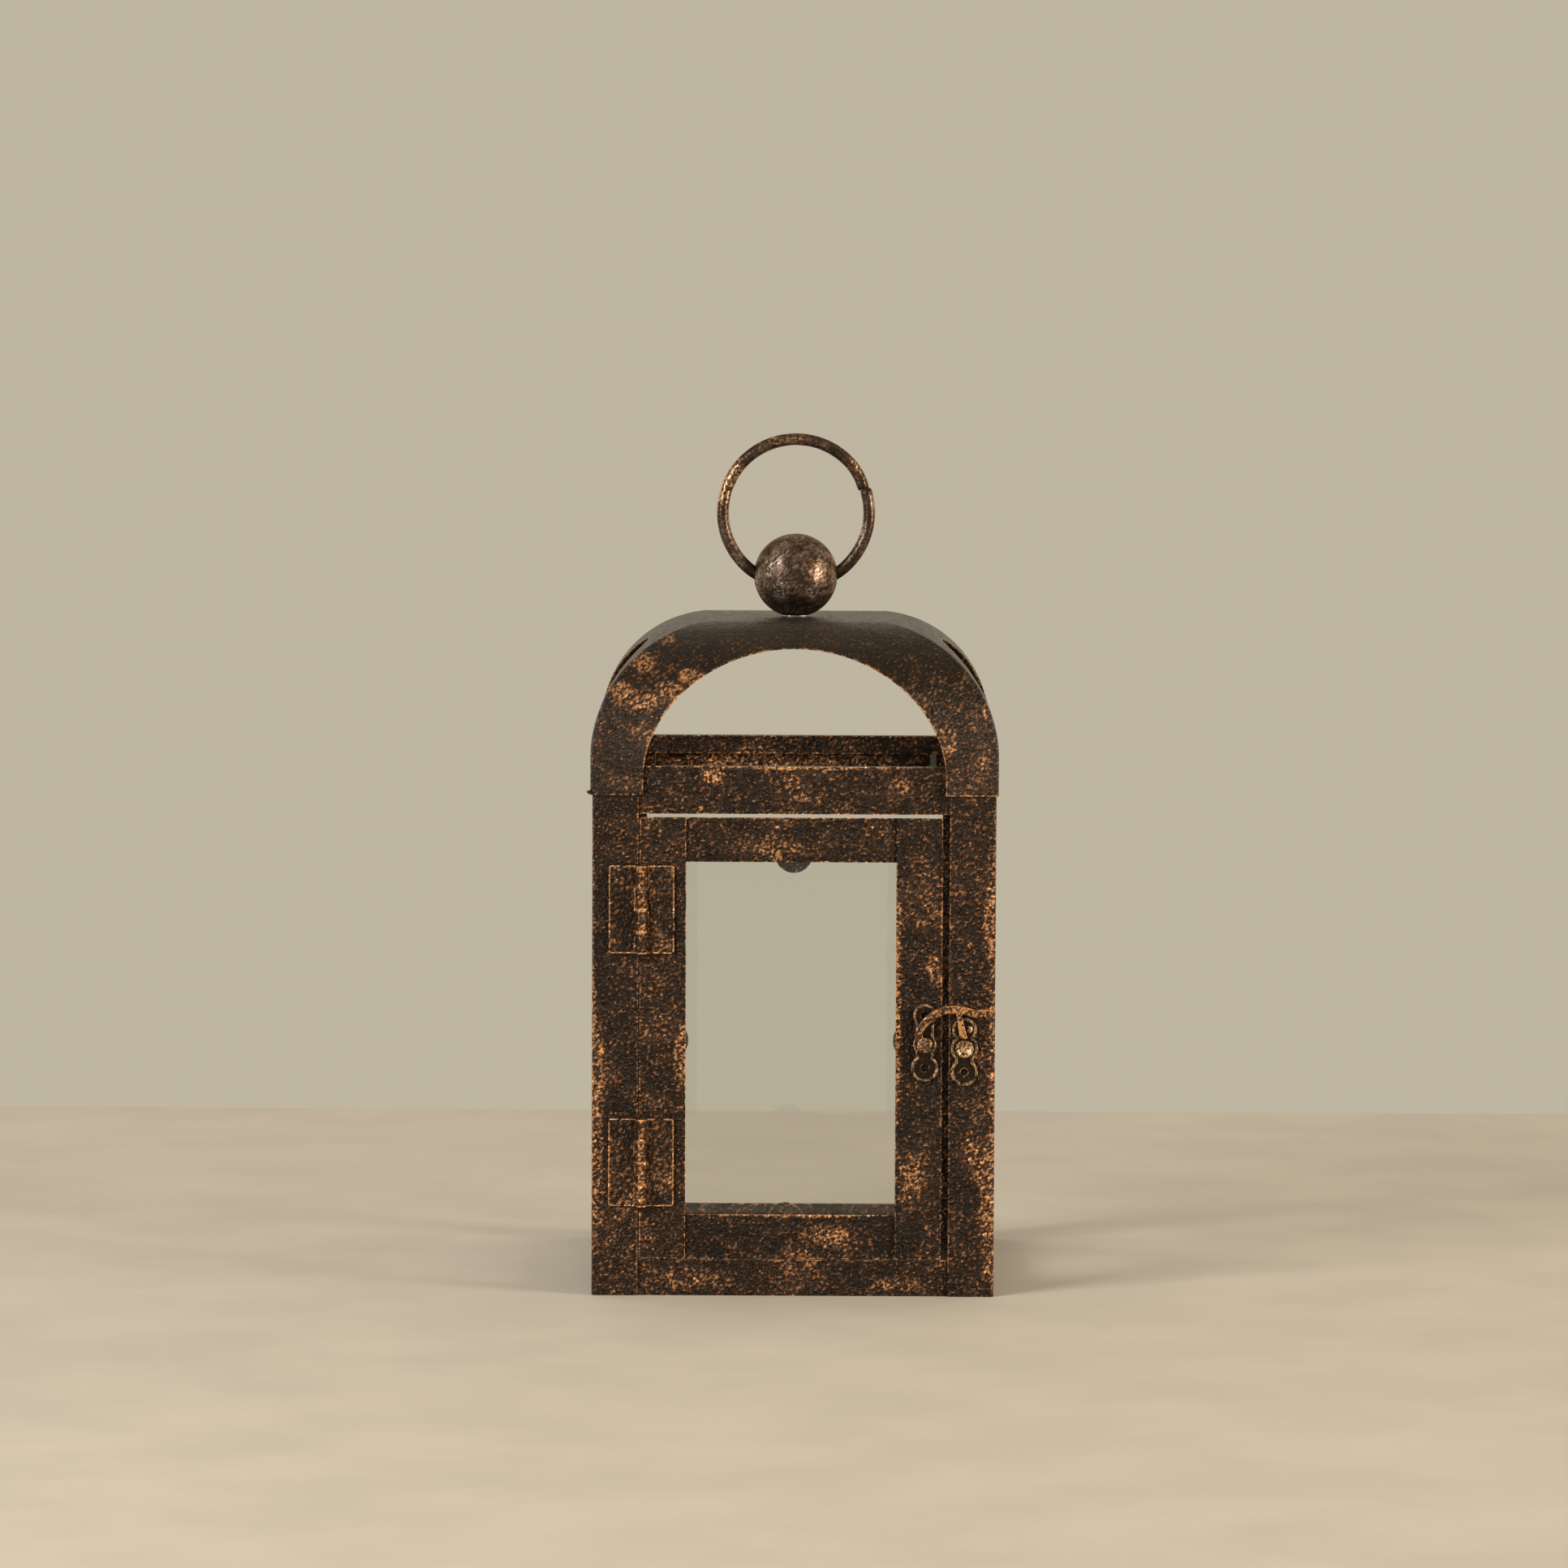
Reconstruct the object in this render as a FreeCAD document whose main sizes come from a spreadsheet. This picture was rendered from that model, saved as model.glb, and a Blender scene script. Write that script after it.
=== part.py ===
import FreeCAD, Part
import os
import re

import Sketcher
from FreeCAD import Placement, Rotation, Vector

# Arched candle lantern in bent sheet metal, in millimetres.
# The origin is the middle of the base on the surface that it stands on, with the door towards -Y and +Z up.

# Driving dimensions
SIZES = {
    # Frame
    "metal_thick": 0.8,
    "gap": 0.3,
    "overrun": 1.0,
    "post_half": 74.2,
    "post_face": 17.0,
    "post_bend_radius": 1.3,
    "base_rail_height": 13.5,
    "base_flange_width": 10.0,
    "head_rail_low": 178.5,
    "head_rail_height": 17.5,
    "lip_drop": 7.0,
    # Panes
    "pane_thick": 2.0,
    "clip_radius": 4.5,
    "clip_foot_width": 2.6,
    "clip_room": 0.8,
    "clip_stand": 0.5,
    # Roof
    "leg_lap": 10.6,
    "leg_face": 19.5,
    "roof_wall_height": 3.2,
    "roof_crown_half": 27.0,
    "roof_flat_drop": 0.6,
    "roof_brow_height": 8.6,
    "arch_sill_drop": 4.5,
    # Finial and ring
    "ball_radius": 15.7,
    "ball_wall_thick": 0.9,
    "ball_seat_depth": 0.25,
    "boss_radius": 3.4,
    "boss_height": 5.4,
    "screw_radius": 1.5,
    "screw_back": 0.6,
    "screw_head_radius": 2.8,
    "screw_head_height": 2.0,
    "washer_radius": 4.6,
    "fit_gap": 0.05,
    "eye_play": 0.5,
    "eye_lift": 0.53,
    "wire_radius": 2.3,
    "ring_radius": 27.5,
    # Door
    "door_hinge_gap": 0.5,
    "door_latch_gap": 2.6,
    "door_head_gap": 1.3,
    "stile_width": 17.0,
    "door_rail_height": 16.4,
    "door_rail_lap": 12.0,
    "pane_cover": 5.0,
    "tab_radius": 7.0,
    "tab_reach": 4.2,
    "tab_side_reach": 1.0,
    "tab_drop": 0.9,
    "tab_shift": 1.8,
    # Hinges
    "hinge_inset": 1.2,
    "hinge_foot_inset": 19.6,
    "hinge_head_inset": 17.7,
    "hinge_height": 32.4,
    "leaf_reach": 12.0,
    "leaf_thick": 1.0,
    "leaf_corner_radius": 0.9,
    "knuckle_radius": 2.1,
    "knuckle_back_gap": 0.2,
    "knuckle_web_reach": 0.9,
    "knuckle_space": 0.15,
    "pin_radius": 1.0,
    # Latch
    "latch_inset": 6.3,
    "latch_drop": 1.7,
    "plate_thick": 1.3,
    "plate_rim_width": 0.9,
    "plate_dish_depth": 0.45,
    "plate_hole_radius": 1.35,
    "door_plate_top_radius": 4.2,
    "door_plate_mid_radius": 4.2,
    "door_plate_low_radius": 5.0,
    "door_plate_rise": 10.8,
    "door_plate_fall": 8.7,
    "post_plate_inset": 5.7,
    "post_plate_radius": 5.0,
    "post_plate_top_radius": 4.5,
    "post_plate_rise": 6.9,
    "post_plate_fall": 8.7,
    "plate_neck_half": 3.3,
    "stud_drop": 1.4,
    "stud_radius": 3.45,
    "stud_neck_radius": 1.7,
    "stud_head_height": 1.6,
    "stud_dish_depth": 0.6,
    "rivet_radius": 1.2,
    "rivet_head_radius": 2.9,
    "rivet_head_height": 1.2,
    "rivet_tail_radius": 1.9,
    "rivet_tail_height": 0.6,
    "hook_thick": 1.7,
    "hook_overhang": 9.8,
    "hook_rise": 13.2,
    "hook_half_width": 1.5,
    "hook_eye_radius": 2.7,
    "hook_knob_radius": 1.7,
    "finger_top_width": 1.8,
    "finger_tip_width": 2.8,
    "finger_lean": 0.33,
}

# Places worked out from the driving dimensions
PLACES = {
    "post_inner": "post_half - metal_thick",
    "post_edge": "post_half - post_face",
    "web_inner": "post_inner - metal_thick",
    "web_end": "web_inner - gap",
    "pane_outer": "web_inner - gap",
    "pane_inner": "pane_outer - pane_thick",
    "lip_outer": "pane_inner - gap",
    "lip_inner": "lip_outer - metal_thick",
    "lip_end": "lip_inner - gap",
    "head_rail_top": "head_rail_low + head_rail_height",
    "fold_low": "head_rail_top - metal_thick",
    "lip_low": "head_rail_top - lip_drop",
    "flange_inner": "web_inner - base_flange_width",
    "flange_end": "flange_inner - gap",
    "flange_top": "2 * metal_thick",
    # The fixed panes stop short of the corners, with room there for the clips
    "pane_half": "lip_inner - clip_room - clip_foot_width - gap",
    "pane_low": "flange_top + gap",
    "pane_high": "fold_low - gap",
    "clip_low": "flange_top + clip_radius + clip_stand",
    "clip_height": "(pane_low + pane_high) / 2",
    # The roof's legs lap over the posts, and its hips keep the posts' bend
    "roof_half": "post_half + metal_thick",
    "hip_inner_radius": "post_bend_radius",
    "hip_radius": "hip_inner_radius + metal_thick",
    "leg_bottom": "head_rail_top - leg_lap",
    "roof_spring": "head_rail_top + roof_wall_height",
    "roof_curve_radius": "roof_half - roof_crown_half",
    "roof_top": "roof_spring + roof_curve_radius - roof_flat_drop",
    "ceiling": "roof_top - metal_thick",
    "ceiling_curve_radius": "roof_curve_radius - metal_thick",
    "arch_half": "roof_half - leg_face",
    "arch_spring": "head_rail_top - arch_sill_drop",
    "arch_rise": "roof_top - roof_brow_height - arch_spring",
    # The door fills the space between the posts, from the base rail to the head rail
    "door_left": "post_edge - door_hinge_gap",
    "door_right": "post_edge - door_latch_gap",
    "door_low": "base_rail_height + gap",
    "door_top": "head_rail_low - door_head_gap",
    "door_middle": "(door_low + door_top) / 2",
    "window_left": "door_left - stile_width",
    "window_right": "door_right - stile_width",
    "window_low": "door_low + door_rail_height",
    "window_top": "door_top - door_rail_height",
    "tab_face": "pane_inner - gap",
    "tab_height": "door_middle - tab_drop",
    "leaf_face": "post_half + leaf_thick",
    "hinge_side": "post_edge - hinge_inset",
    "hinge_low": "door_low + hinge_foot_inset",
    "hinge_high": "door_top - hinge_head_inset - hinge_height",
    "hinge_depth": "post_half + knuckle_back_gap + knuckle_radius",
    "leaf_edge": "knuckle_radius + knuckle_back_gap",
    "knuckle_pitch": "hinge_height / 4",
    # The hook reaches from its rivet on the door past the stud on the post
    "latch_side": "door_right - latch_inset",
    "latch_height": "door_middle - latch_drop",
    "post_plate_side": "post_edge + post_plate_inset",
    "stud_height": "latch_height - stud_drop",
    "post_plate_low": "stud_height - post_plate_fall",
    "plate_face": "post_half + plate_thick",
    "hook_back": "plate_face + gap",
    "hook_reach": "post_plate_side - latch_side + hook_overhang",
    # The ring's wire crosses the ball's wall on a slope, so the eyes are wider than the wire
    "ball_height": "roof_top + ball_radius - ball_seat_depth",
    "eye_radius": "wire_radius / sqrt(1 - (ball_radius / ring_radius) ^ 2) + eye_play",
    "wall_middle": "sqrt((ball_radius - ball_wall_thick / 2) ^ 2 - eye_radius ^ 2)",
    "pivot_height": "ball_height + eye_lift",
    "ring_height": "pivot_height + sqrt(ring_radius ^ 2 - wall_middle ^ 2)",
    "washer_low": "ceiling - metal_thick",
    "screw_length": "2 * metal_thick + boss_height - screw_back",
    # Along the rivet and the stud, from the tail forwards
    "rivet_neck_end": "rivet_tail_height + metal_thick + plate_thick + gap + hook_thick + gap",
    "rivet_brow": "rivet_neck_end + rivet_head_height / 2",
    "rivet_end": "rivet_neck_end + rivet_head_height",
    "rivet_crown": "rivet_head_radius - rivet_head_height / 2",
    "stud_neck_end": "rivet_tail_height + metal_thick + plate_thick + gap",
    "stud_swell": "stud_neck_end + stud_head_height / 2",
    "stud_end": "stud_neck_end + stud_head_height",
    "stud_brow": "stud_radius - stud_head_height / 3",
    "stud_rim": "stud_radius - stud_head_height / 2",
    "stud_floor": "stud_end - stud_dish_depth",
}

# Points on the middle line of the horn-shaped hook: shares of its reach and of its rise, from the rivet
HORN_LINE_SHARES = (
    (0.0, 0.0),
    (-0.085, 0.36),
    (0.01, 0.63),
    (0.12, 0.82),
    (0.25, 0.945),
    (0.37, 0.99),
    (0.48, 1.0),
    (0.59, 0.97),
    (0.70, 0.905),
    (0.80, 0.885),
    (0.90, 0.905),
    (0.985, 0.86),
)
# Where the finger leaves the horn, in the same shares
FINGER_TOP_SHARES = (0.505, 0.90)
RING_SPLIT_ANGLE = 18.0
RING_SPLIT_WIDTH_ANGLE = 1.4
QUARTER_TURN = 90.0
FULL_TURN = 360.0
ANGLE_TOLERANCE = 0.01

# Turns that lay a cylinder's axis from the rear towards the front, and from the left towards the right
TO_FRONT = Rotation(Vector(1, 0, 0), QUARTER_TURN)
TO_RIGHT = Rotation(Vector(0, 1, 0), QUARTER_TURN)

doc = FreeCAD.newDocument("lantern")
sizes = doc.addObject("Spreadsheet::Sheet", "Sizes")
places = doc.addObject("Spreadsheet::Sheet", "Places")
pieces = []


def formula(text):
    """Text of a sum with each alias prefixed by its sheet."""
    def prefixed(match):
        word = match.group(0)
        if word in SIZES:
            return "Sizes." + word
        if word in PLACES:
            return "Places." + word
        return word
    return re.sub(r"[a-z_]+", prefixed, text)


def fill_sheets():
    """Write the driving dimensions as plain numbers and the places as sums of them."""
    for row, (alias, size) in enumerate(SIZES.items(), 1):
        sizes.set("A%d" % row, alias)
        sizes.set("B%d" % row, str(size))
        sizes.setAlias("B%d" % row, alias)
    doc.recompute()
    for row, alias in enumerate(PLACES, 1):
        places.set("A%d" % row, alias)
        places.setAlias("B%d" % row, alias)
    for row, text in enumerate(PLACES.values(), 1):
        places.set("B%d" % row, "=" + formula(text))
    doc.recompute()


def number(alias):
    """Value of one alias, or zero for the text 0."""
    if alias == "0":
        return 0.0
    sheet = sizes if alias in SIZES else places
    return float(getattr(sheet, alias))


def bind(item, **sums):
    """Tie properties of an object to sums of aliases."""
    for name, text in sums.items():
        item.setExpression(name, formula(text))


def put(item, x="0", y="0", z="0", turn=None):
    """Place an object at sums of aliases, turned if asked."""
    if turn:
        item.Placement = Placement(Vector(), turn)
    for axis, text in (("x", x), ("y", y), ("z", z)):
        if text != "0":
            item.setExpression("Placement.Base." + axis, formula(text))
    return item


def box(x, y, z):
    """Box between pairs of sums, one pair for each direction."""
    item = doc.addObject("Part::Box", "block")
    bind(item, Length="(%s) - (%s)" % (x[1], x[0]))
    bind(item, Width="(%s) - (%s)" % (y[1], y[0]))
    bind(item, Height="(%s) - (%s)" % (z[1], z[0]))
    return put(item, x[0], y[0], z[0])


def rod(radius, length, x="0", y="0", z="0", turn=None):
    """Cylinder of a radius and a length given as sums, along +Z before its turn."""
    item = doc.addObject("Part::Cylinder", "rod")
    bind(item, Radius=radius, Height=length)
    return put(item, x, y, z, turn)


def ball(radius, z):
    """Sphere on the lantern's axis."""
    item = doc.addObject("Part::Sphere", "ball")
    bind(item, Radius=radius)
    return put(item, z=z)


def fuse(*items):
    """One solid from several."""
    item = doc.addObject("Part::MultiFuse", "joined")
    item.Shapes = list(items)
    item.Refine = True
    return item


def common(*items):
    """What several solids share."""
    item = doc.addObject("Part::MultiCommon", "shared")
    item.Shapes = list(items)
    item.Refine = True
    return item


def cut(base, *tools):
    """Base less its tools."""
    item = doc.addObject("Part::Cut", "trimmed")
    item.Base = base
    item.Tool = tools[0] if len(tools) == 1 else fuse(*tools)
    item.Refine = True
    return item


def group(items):
    """Several separate solids as one piece."""
    item = doc.addObject("Part::Compound", "set")
    item.Links = items
    return item


def rounded(base, radius, chosen):
    """Base with the edges that pass a test rounded to a radius."""
    doc.recompute()
    item = doc.addObject("Part::Fillet", "rounded")
    item.Base = base
    edges = [index for index, edge in enumerate(base.Shape.Edges, 1) if chosen(edge)]
    item.Edges = [(index, radius, radius) for index in edges]
    return item


def piece(node, item, turn=0.0):
    """Name a finished piece, turned about the lantern's axis by quarter turns."""
    item.Label = node
    if turn:
        item.Placement = Placement(Vector(), Rotation(Vector(0, 0, 1), turn))
    pieces.append(item)
    return item


def origin_plane(body, role):
    """Origin plane of a body, found by its role."""
    return next(feature for feature in body.Origin.OriginFeatures if feature.Role == role)


def turned_body(outline):
    """Body turned about its own Z axis from corners given as aliases of radius and height."""
    body = doc.addObject("PartDesign::Body", "turned")
    sketch = body.newObject("Sketcher::SketchObject", "profile")
    sketch.AttachmentSupport = (origin_plane(body, "XZ_Plane"), [""])
    sketch.MapMode = "FlatFace"
    corners = [Vector(number(radius), number(height), 0) for radius, height in outline]
    count = len(corners)
    for index in range(count):
        sketch.addGeometry(Part.LineSegment(corners[index], corners[(index + 1) % count]), False)
    for index in range(count):
        sketch.addConstraint(Sketcher.Constraint("Coincident", index, 2, (index + 1) % count, 1))
    for index, corner in enumerate(outline):
        for kind, alias, axis in (("DistanceX", corner[0], -2), ("DistanceY", corner[1], -1)):
            if alias == "0":
                sketch.addConstraint(Sketcher.Constraint("PointOnObject", index, 1, axis))
            else:
                rule = Sketcher.Constraint(kind, -1, 1, index, 1, number(alias))
                place = sketch.addConstraint(rule)
                sketch.setExpression("Constraints[%d]" % place, formula(alias))
    turning = body.newObject("PartDesign::Revolution", "turning")
    turning.Profile = sketch
    turning.ReferenceAxis = (sketch, ["V_Axis"])
    turning.Angle = FULL_TURN
    body.Tip = turning
    return body


def runs_along(edge, direction):
    """True for a straight edge along a direction."""
    along = edge.tangentAt(edge.FirstParameter)
    return edge.Curve.TypeId == "Part::GeomLine" and along.cross(direction).Length < ANGLE_TOLERANCE


def at_outer_corner(edge):
    """True for the upright edge at the outer corner of the frame, towards -X and -Y."""
    spot = edge.CenterOfMass
    outer = -number("post_edge")
    return runs_along(edge, Vector(0, 0, 1)) and spot.x < outer and spot.y < outer


# Base and frame
def build_base_plate():
    """Square floor plate between the base rails."""
    plate = box(("-web_end", "web_end"), ("-web_end", "web_end"), ("0", "metal_thick"))
    piece("base_plate", plate)


def build_posts():
    """Four L-section corner posts with a rounded outer bend; the door hangs on the front left one."""
    names = ("post_front_left", "post_front_right", "post_rear_right", "post_rear_left")
    for step, name in enumerate(names):
        outer = box(("-post_half", "-post_edge"), ("-post_half", "-post_edge"), ("0", "head_rail_top"))
        bent = rounded(outer, number("post_bend_radius"), at_outer_corner)
        inside = ("-post_inner", "overrun")
        inner = box(inside, inside, ("-overrun", "head_rail_top + overrun"))
        if name == "post_front_right":
            hole = rod("stud_neck_radius + fit_gap", "metal_thick + 2 * overrun",
                       "-post_half - overrun", "-post_plate_side", "stud_height", TO_RIGHT)
            inner = fuse(inner, hole)
        piece(name, cut(bent, inner), step * QUARTER_TURN)


def build_rails():
    """Base rails with an inward flange, and head rails folded over at the top into a lip."""
    sides = ("front", "right", "rear", "left")
    for step, side in enumerate(sides):
        web = box(("-web_end", "web_end"), ("-post_inner", "-web_inner"), ("0", "base_rail_height"))
        flange = box(("-flange_end", "flange_end"), ("-web_inner", "-flange_inner"),
                     ("metal_thick", "flange_top"))
        piece("base_rail_" + side, fuse(web, flange), step * QUARTER_TURN)
    for step, side in enumerate(sides):
        web = box(("-web_end", "web_end"), ("-post_inner", "-web_inner"), ("head_rail_low", "head_rail_top"))
        fold = box(("-lip_end", "lip_end"), ("-web_inner", "-lip_inner"), ("fold_low", "head_rail_top"))
        lip = box(("-lip_end", "lip_end"), ("-lip_outer", "-lip_inner"), ("lip_low", "fold_low"))
        piece("head_rail_" + side, fuse(web, fold, lip), step * QUARTER_TURN)


def build_fixed_panes():
    """Three clear panes and the round-ended clips that hold each at its foot and sides."""
    clips = []
    for step, side in enumerate(("right", "rear", "left"), 1):
        pane = box(("-pane_half", "pane_half"), ("-pane_outer", "-pane_inner"), ("pane_low", "pane_high"))
        piece("pane_" + side, group([pane]), step * QUARTER_TURN)
        turn = Rotation(Vector(0, 0, 1), step * QUARTER_TURN)
        foot_round = rod("clip_radius", "metal_thick", "0", "-lip_inner", "clip_low", TO_FRONT)
        foot = box(("-clip_radius", "clip_radius"), ("-lip_outer", "-lip_inner"), ("flange_top", "clip_low"))
        clips.append((fuse(foot_round, foot), turn))
        for sign in ("-", ""):
            near = "%s(pane_half + gap)" % sign
            far = "%s(pane_half + gap + clip_foot_width)" % sign
            ends = (far, near) if sign else (near, far)
            centre = "%s(pane_half + gap + clip_foot_width - clip_radius)" % sign
            round_end = rod("clip_radius", "metal_thick", centre, "-lip_inner", "clip_height", TO_FRONT)
            block = box(ends, ("-post_inner", "-lip_inner"),
                        ("clip_height - clip_foot_width / 2", "clip_height + clip_foot_width / 2"))
            clips.append((fuse(round_end, block), turn))
    for clip, turn in clips:
        clip.Placement = Placement(Vector(), turn)
    piece("pane_clips", group([clip for clip, turn in clips]))


# Roof
def vault(half, curve, top):
    """Barrel of the roof's profile along Y, from the legs' lower ends to the flat top."""
    length = "2 * %s" % half
    across = ("-" + half, half)
    low = box(across, across, ("leg_bottom", "roof_spring"))
    middle = box(("-roof_crown_half", "roof_crown_half"), across, ("leg_bottom", "roof_spring + " + curve))
    rounds = [rod(curve, length, side, half, "roof_spring", TO_FRONT)
              for side in ("-roof_crown_half", "roof_crown_half")]
    body = fuse(low, middle, *rounds)
    slab = box(across, across, ("leg_bottom", top))
    return common(body, slab)


def dome(half, curve, top, round_radius):
    """Where two barrels cross, with the hips and leg corners rounded."""
    along = vault(half, curve, top)
    across = vault(half, curve, top)
    across.Placement = Placement(Vector(), Rotation(Vector(0, 0, 1), QUARTER_TURN))
    return rounded(common(along, across), number(round_radius), on_hip)


def on_hip(edge):
    """True for an edge on a diagonal of the plan, which is a hip or a leg corner."""
    middle = edge.valueAt((edge.FirstParameter + edge.LastParameter) / 2)
    start = edge.valueAt(edge.FirstParameter)
    diagonal = all(abs(abs(spot.x) - abs(spot.y)) < number("gap") for spot in (middle, start))
    return diagonal and abs(start.x) > number("roof_crown_half")


def arch_cutter(turn):
    """Arch with upright sides, right through the roof along one direction."""
    oval = doc.addObject("Part::Ellipse", "oval")
    bind(oval, MajorRadius="arch_half", MinorRadius="arch_rise")
    put(oval, y="roof_half + overrun", z="arch_spring", turn=TO_FRONT)
    bar = doc.addObject("Part::Extrusion", "oval_bar")
    bar.Base = oval
    bar.DirMode = "Custom"
    bar.Dir = Vector(0, -1, 0)
    bar.Solid = True
    bind(bar, LengthFwd="2 * (roof_half + overrun)")
    sill = box(("-arch_half", "arch_half"), ("-roof_half - overrun", "roof_half + overrun"),
               ("leg_bottom - overrun", "arch_spring"))
    cutter = fuse(bar, sill)
    cutter.Placement = Placement(Vector(), Rotation(Vector(0, 0, 1), turn))
    return cutter


def build_roof():
    """Four-sided domed cap with an arch in each face and a hole for the finial's screw."""
    outside = dome("roof_half", "roof_curve_radius", "roof_top", "hip_radius")
    inside = dome("post_half", "ceiling_curve_radius", "ceiling", "hip_inner_radius")
    hole = rod("screw_radius + fit_gap", "metal_thick + 2 * overrun", z="ceiling - overrun")
    shell = cut(outside, inside, hole)
    piece("roof_shell", cut(shell, arch_cutter(0), arch_cutter(QUARTER_TURN)))


# Finial and carrying ring
def build_finial():
    """Hollow ball with a threaded boss, held down by a screw and washer from below."""
    shell = cut(ball("ball_radius", "ball_height"), ball("ball_radius - ball_wall_thick", "ball_height"))
    boss = rod("boss_radius", "boss_height", z="roof_top")
    solid = fuse(shell, boss)
    eye = rod("eye_radius", "2 * (ball_radius + overrun)", "-ball_radius - overrun", "0", "pivot_height",
              TO_RIGHT)
    seat = rod("ball_radius", "overrun", z="roof_top - overrun")
    bore = rod("screw_radius + fit_gap", "boss_height + 2 * overrun", z="roof_top - overrun")
    piece("finial_ball", cut(solid, eye, seat, bore))
    head = rod("screw_head_radius", "screw_head_height", z="washer_low - screw_head_height")
    shank = rod("screw_radius", "screw_length", z="washer_low")
    piece("finial_screw", fuse(head, shank))
    disc = rod("washer_radius", "metal_thick", z="washer_low")
    hole = rod("screw_radius + fit_gap", "metal_thick + 2 * overrun", z="washer_low - overrun")
    piece("finial_washer", cut(disc, hole))


def build_ring():
    """Split wire ring through the ball, its butt joint at the upper right."""
    ring = doc.addObject("Part::Torus", "ring")
    bind(ring, Radius1="ring_radius", Radius2="wire_radius")
    ring.Angle3 = FULL_TURN - RING_SPLIT_WIDTH_ANGLE
    start = RING_SPLIT_ANGLE + RING_SPLIT_WIDTH_ANGLE / 2
    piece("carry_ring", put(ring, z="ring_height", turn=TO_FRONT * Rotation(Vector(0, 0, 1), start)))


# Door
def build_door_frame():
    """Two full-height stiles with a rail lapped behind their ends at the top and bottom."""
    face = ("-post_half", "-post_inner")
    left = box(("-door_left", "-window_left"), face, ("door_low", "door_top"))
    piece("door_stile_left", left)
    right = box(("window_right", "door_right"), face, ("door_low", "door_top"))
    hole = rod("rivet_radius + fit_gap", "metal_thick + 2 * overrun", "latch_side", "-post_inner + overrun",
               "latch_height", TO_FRONT)
    piece("door_stile_right", cut(right, hole))
    reach = ("-window_left - door_rail_lap", "window_right + door_rail_lap")
    behind = ("-post_inner", "-web_inner")
    piece("door_rail_top", box(reach, behind, ("window_top", "door_top")))
    piece("door_rail_bottom", box(reach, behind, ("door_low", "window_low")))


def build_door_pane():
    """Clear pane behind the door frame, and a round tab at the middle of each side."""
    pane = box(("-window_left - pane_cover", "window_right + pane_cover"), ("-pane_outer", "-pane_inner"),
               ("window_low - pane_cover", "window_top + pane_cover"))
    piece("door_pane", pane)
    near = "pane_cover + gap"
    far = "pane_cover + gap + clip_foot_width"
    middle = "(window_right - window_left) / 2"
    foot_half = "clip_foot_width / 2"
    tabs = []
    for centre, across, low, high in (
            ("window_low + tab_reach - tab_radius", middle + " - tab_shift",
             "window_low - (%s)" % far, "window_low - (%s)" % near),
            ("window_top - tab_reach + tab_radius", middle + " + tab_shift / 2",
             "window_top + (%s)" % near, "window_top + (%s)" % far)):
        disc = rod("tab_radius", "metal_thick", across, "-tab_face + metal_thick", centre, TO_FRONT)
        foot = box(("%s - %s" % (across, foot_half), "%s + %s" % (across, foot_half)),
                   ("-web_inner", "-tab_face"), (low, high))
        tabs.append(fuse(disc, foot))
    for centre, low, high in (
            ("-window_left + tab_side_reach - tab_radius", "-window_left - (%s)" % far,
             "-window_left - (%s)" % near),
            ("window_right - tab_side_reach + tab_radius", "window_right + (%s)" % near,
             "window_right + (%s)" % far)):
        disc = rod("tab_radius", "metal_thick", centre, "-tab_face + metal_thick", "tab_height", TO_FRONT)
        foot = box((low, high), ("-post_inner", "-tab_face"),
                   ("tab_height - %s" % foot_half, "tab_height + %s" % foot_half))
        tabs.append(fuse(disc, foot))
    piece("door_pane_tabs", group(tabs))


# Hinges
def knuckle(low, order):
    """One of the four barrels of a hinge, counted from its lower end."""
    return rod("knuckle_radius", "knuckle_pitch - knuckle_space", "-hinge_side", "-hinge_depth",
               "%s + %d * knuckle_pitch + knuckle_space / 2" % (low, order))


def leaf(low, side, orders):
    """Hinge leaf on one side of the pin: plate, webs and its own two barrels."""
    face = ("-leaf_face", "-post_half")
    reach = ("-hinge_side - leaf_reach", "-hinge_side - leaf_edge")
    web = ("-hinge_side - leaf_edge", "-hinge_side - knuckle_web_reach")
    if side == "door":
        reach = ("-hinge_side + leaf_edge", "-hinge_side + leaf_reach")
        web = ("-hinge_side + knuckle_web_reach", "-hinge_side + leaf_edge")
    plate = box(reach, face, (low, "%s + hinge_height" % low))
    outer = -number("hinge_side") - number("leaf_reach")
    if side == "door":
        outer = -number("hinge_side") + number("leaf_reach")
    trimmed = rounded(plate, number("leaf_corner_radius"), lambda edge: runs_along(edge, Vector(0, 1, 0))
                      and abs(edge.CenterOfMass.x - outer) < number("gap"))
    parts = [trimmed]
    for order in orders:
        base = "%s + %d * knuckle_pitch + knuckle_space / 2" % (low, order)
        parts.append(knuckle(low, order))
        parts.append(box(web, face, (base, "%s + knuckle_pitch - knuckle_space" % base)))
    bore = rod("pin_radius + fit_gap", "hinge_height + 2 * overrun", "-hinge_side", "-hinge_depth",
               "%s - overrun" % low)
    return cut(fuse(*parts), bore)


def build_hinges():
    """Two butt hinges, each with a leaf on the post, a leaf on the door and a pin."""
    for name, low in (("lower", "hinge_low"), ("upper", "hinge_high")):
        piece("hinge_%s_post_leaf" % name, leaf(low, "post", (1, 3)))
        piece("hinge_%s_door_leaf" % name, leaf(low, "door", (0, 2)))
        pin = rod("pin_radius", "hinge_height", "-hinge_side", "-hinge_depth", low)
        piece("hinge_%s_pin" % name, pin)


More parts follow.
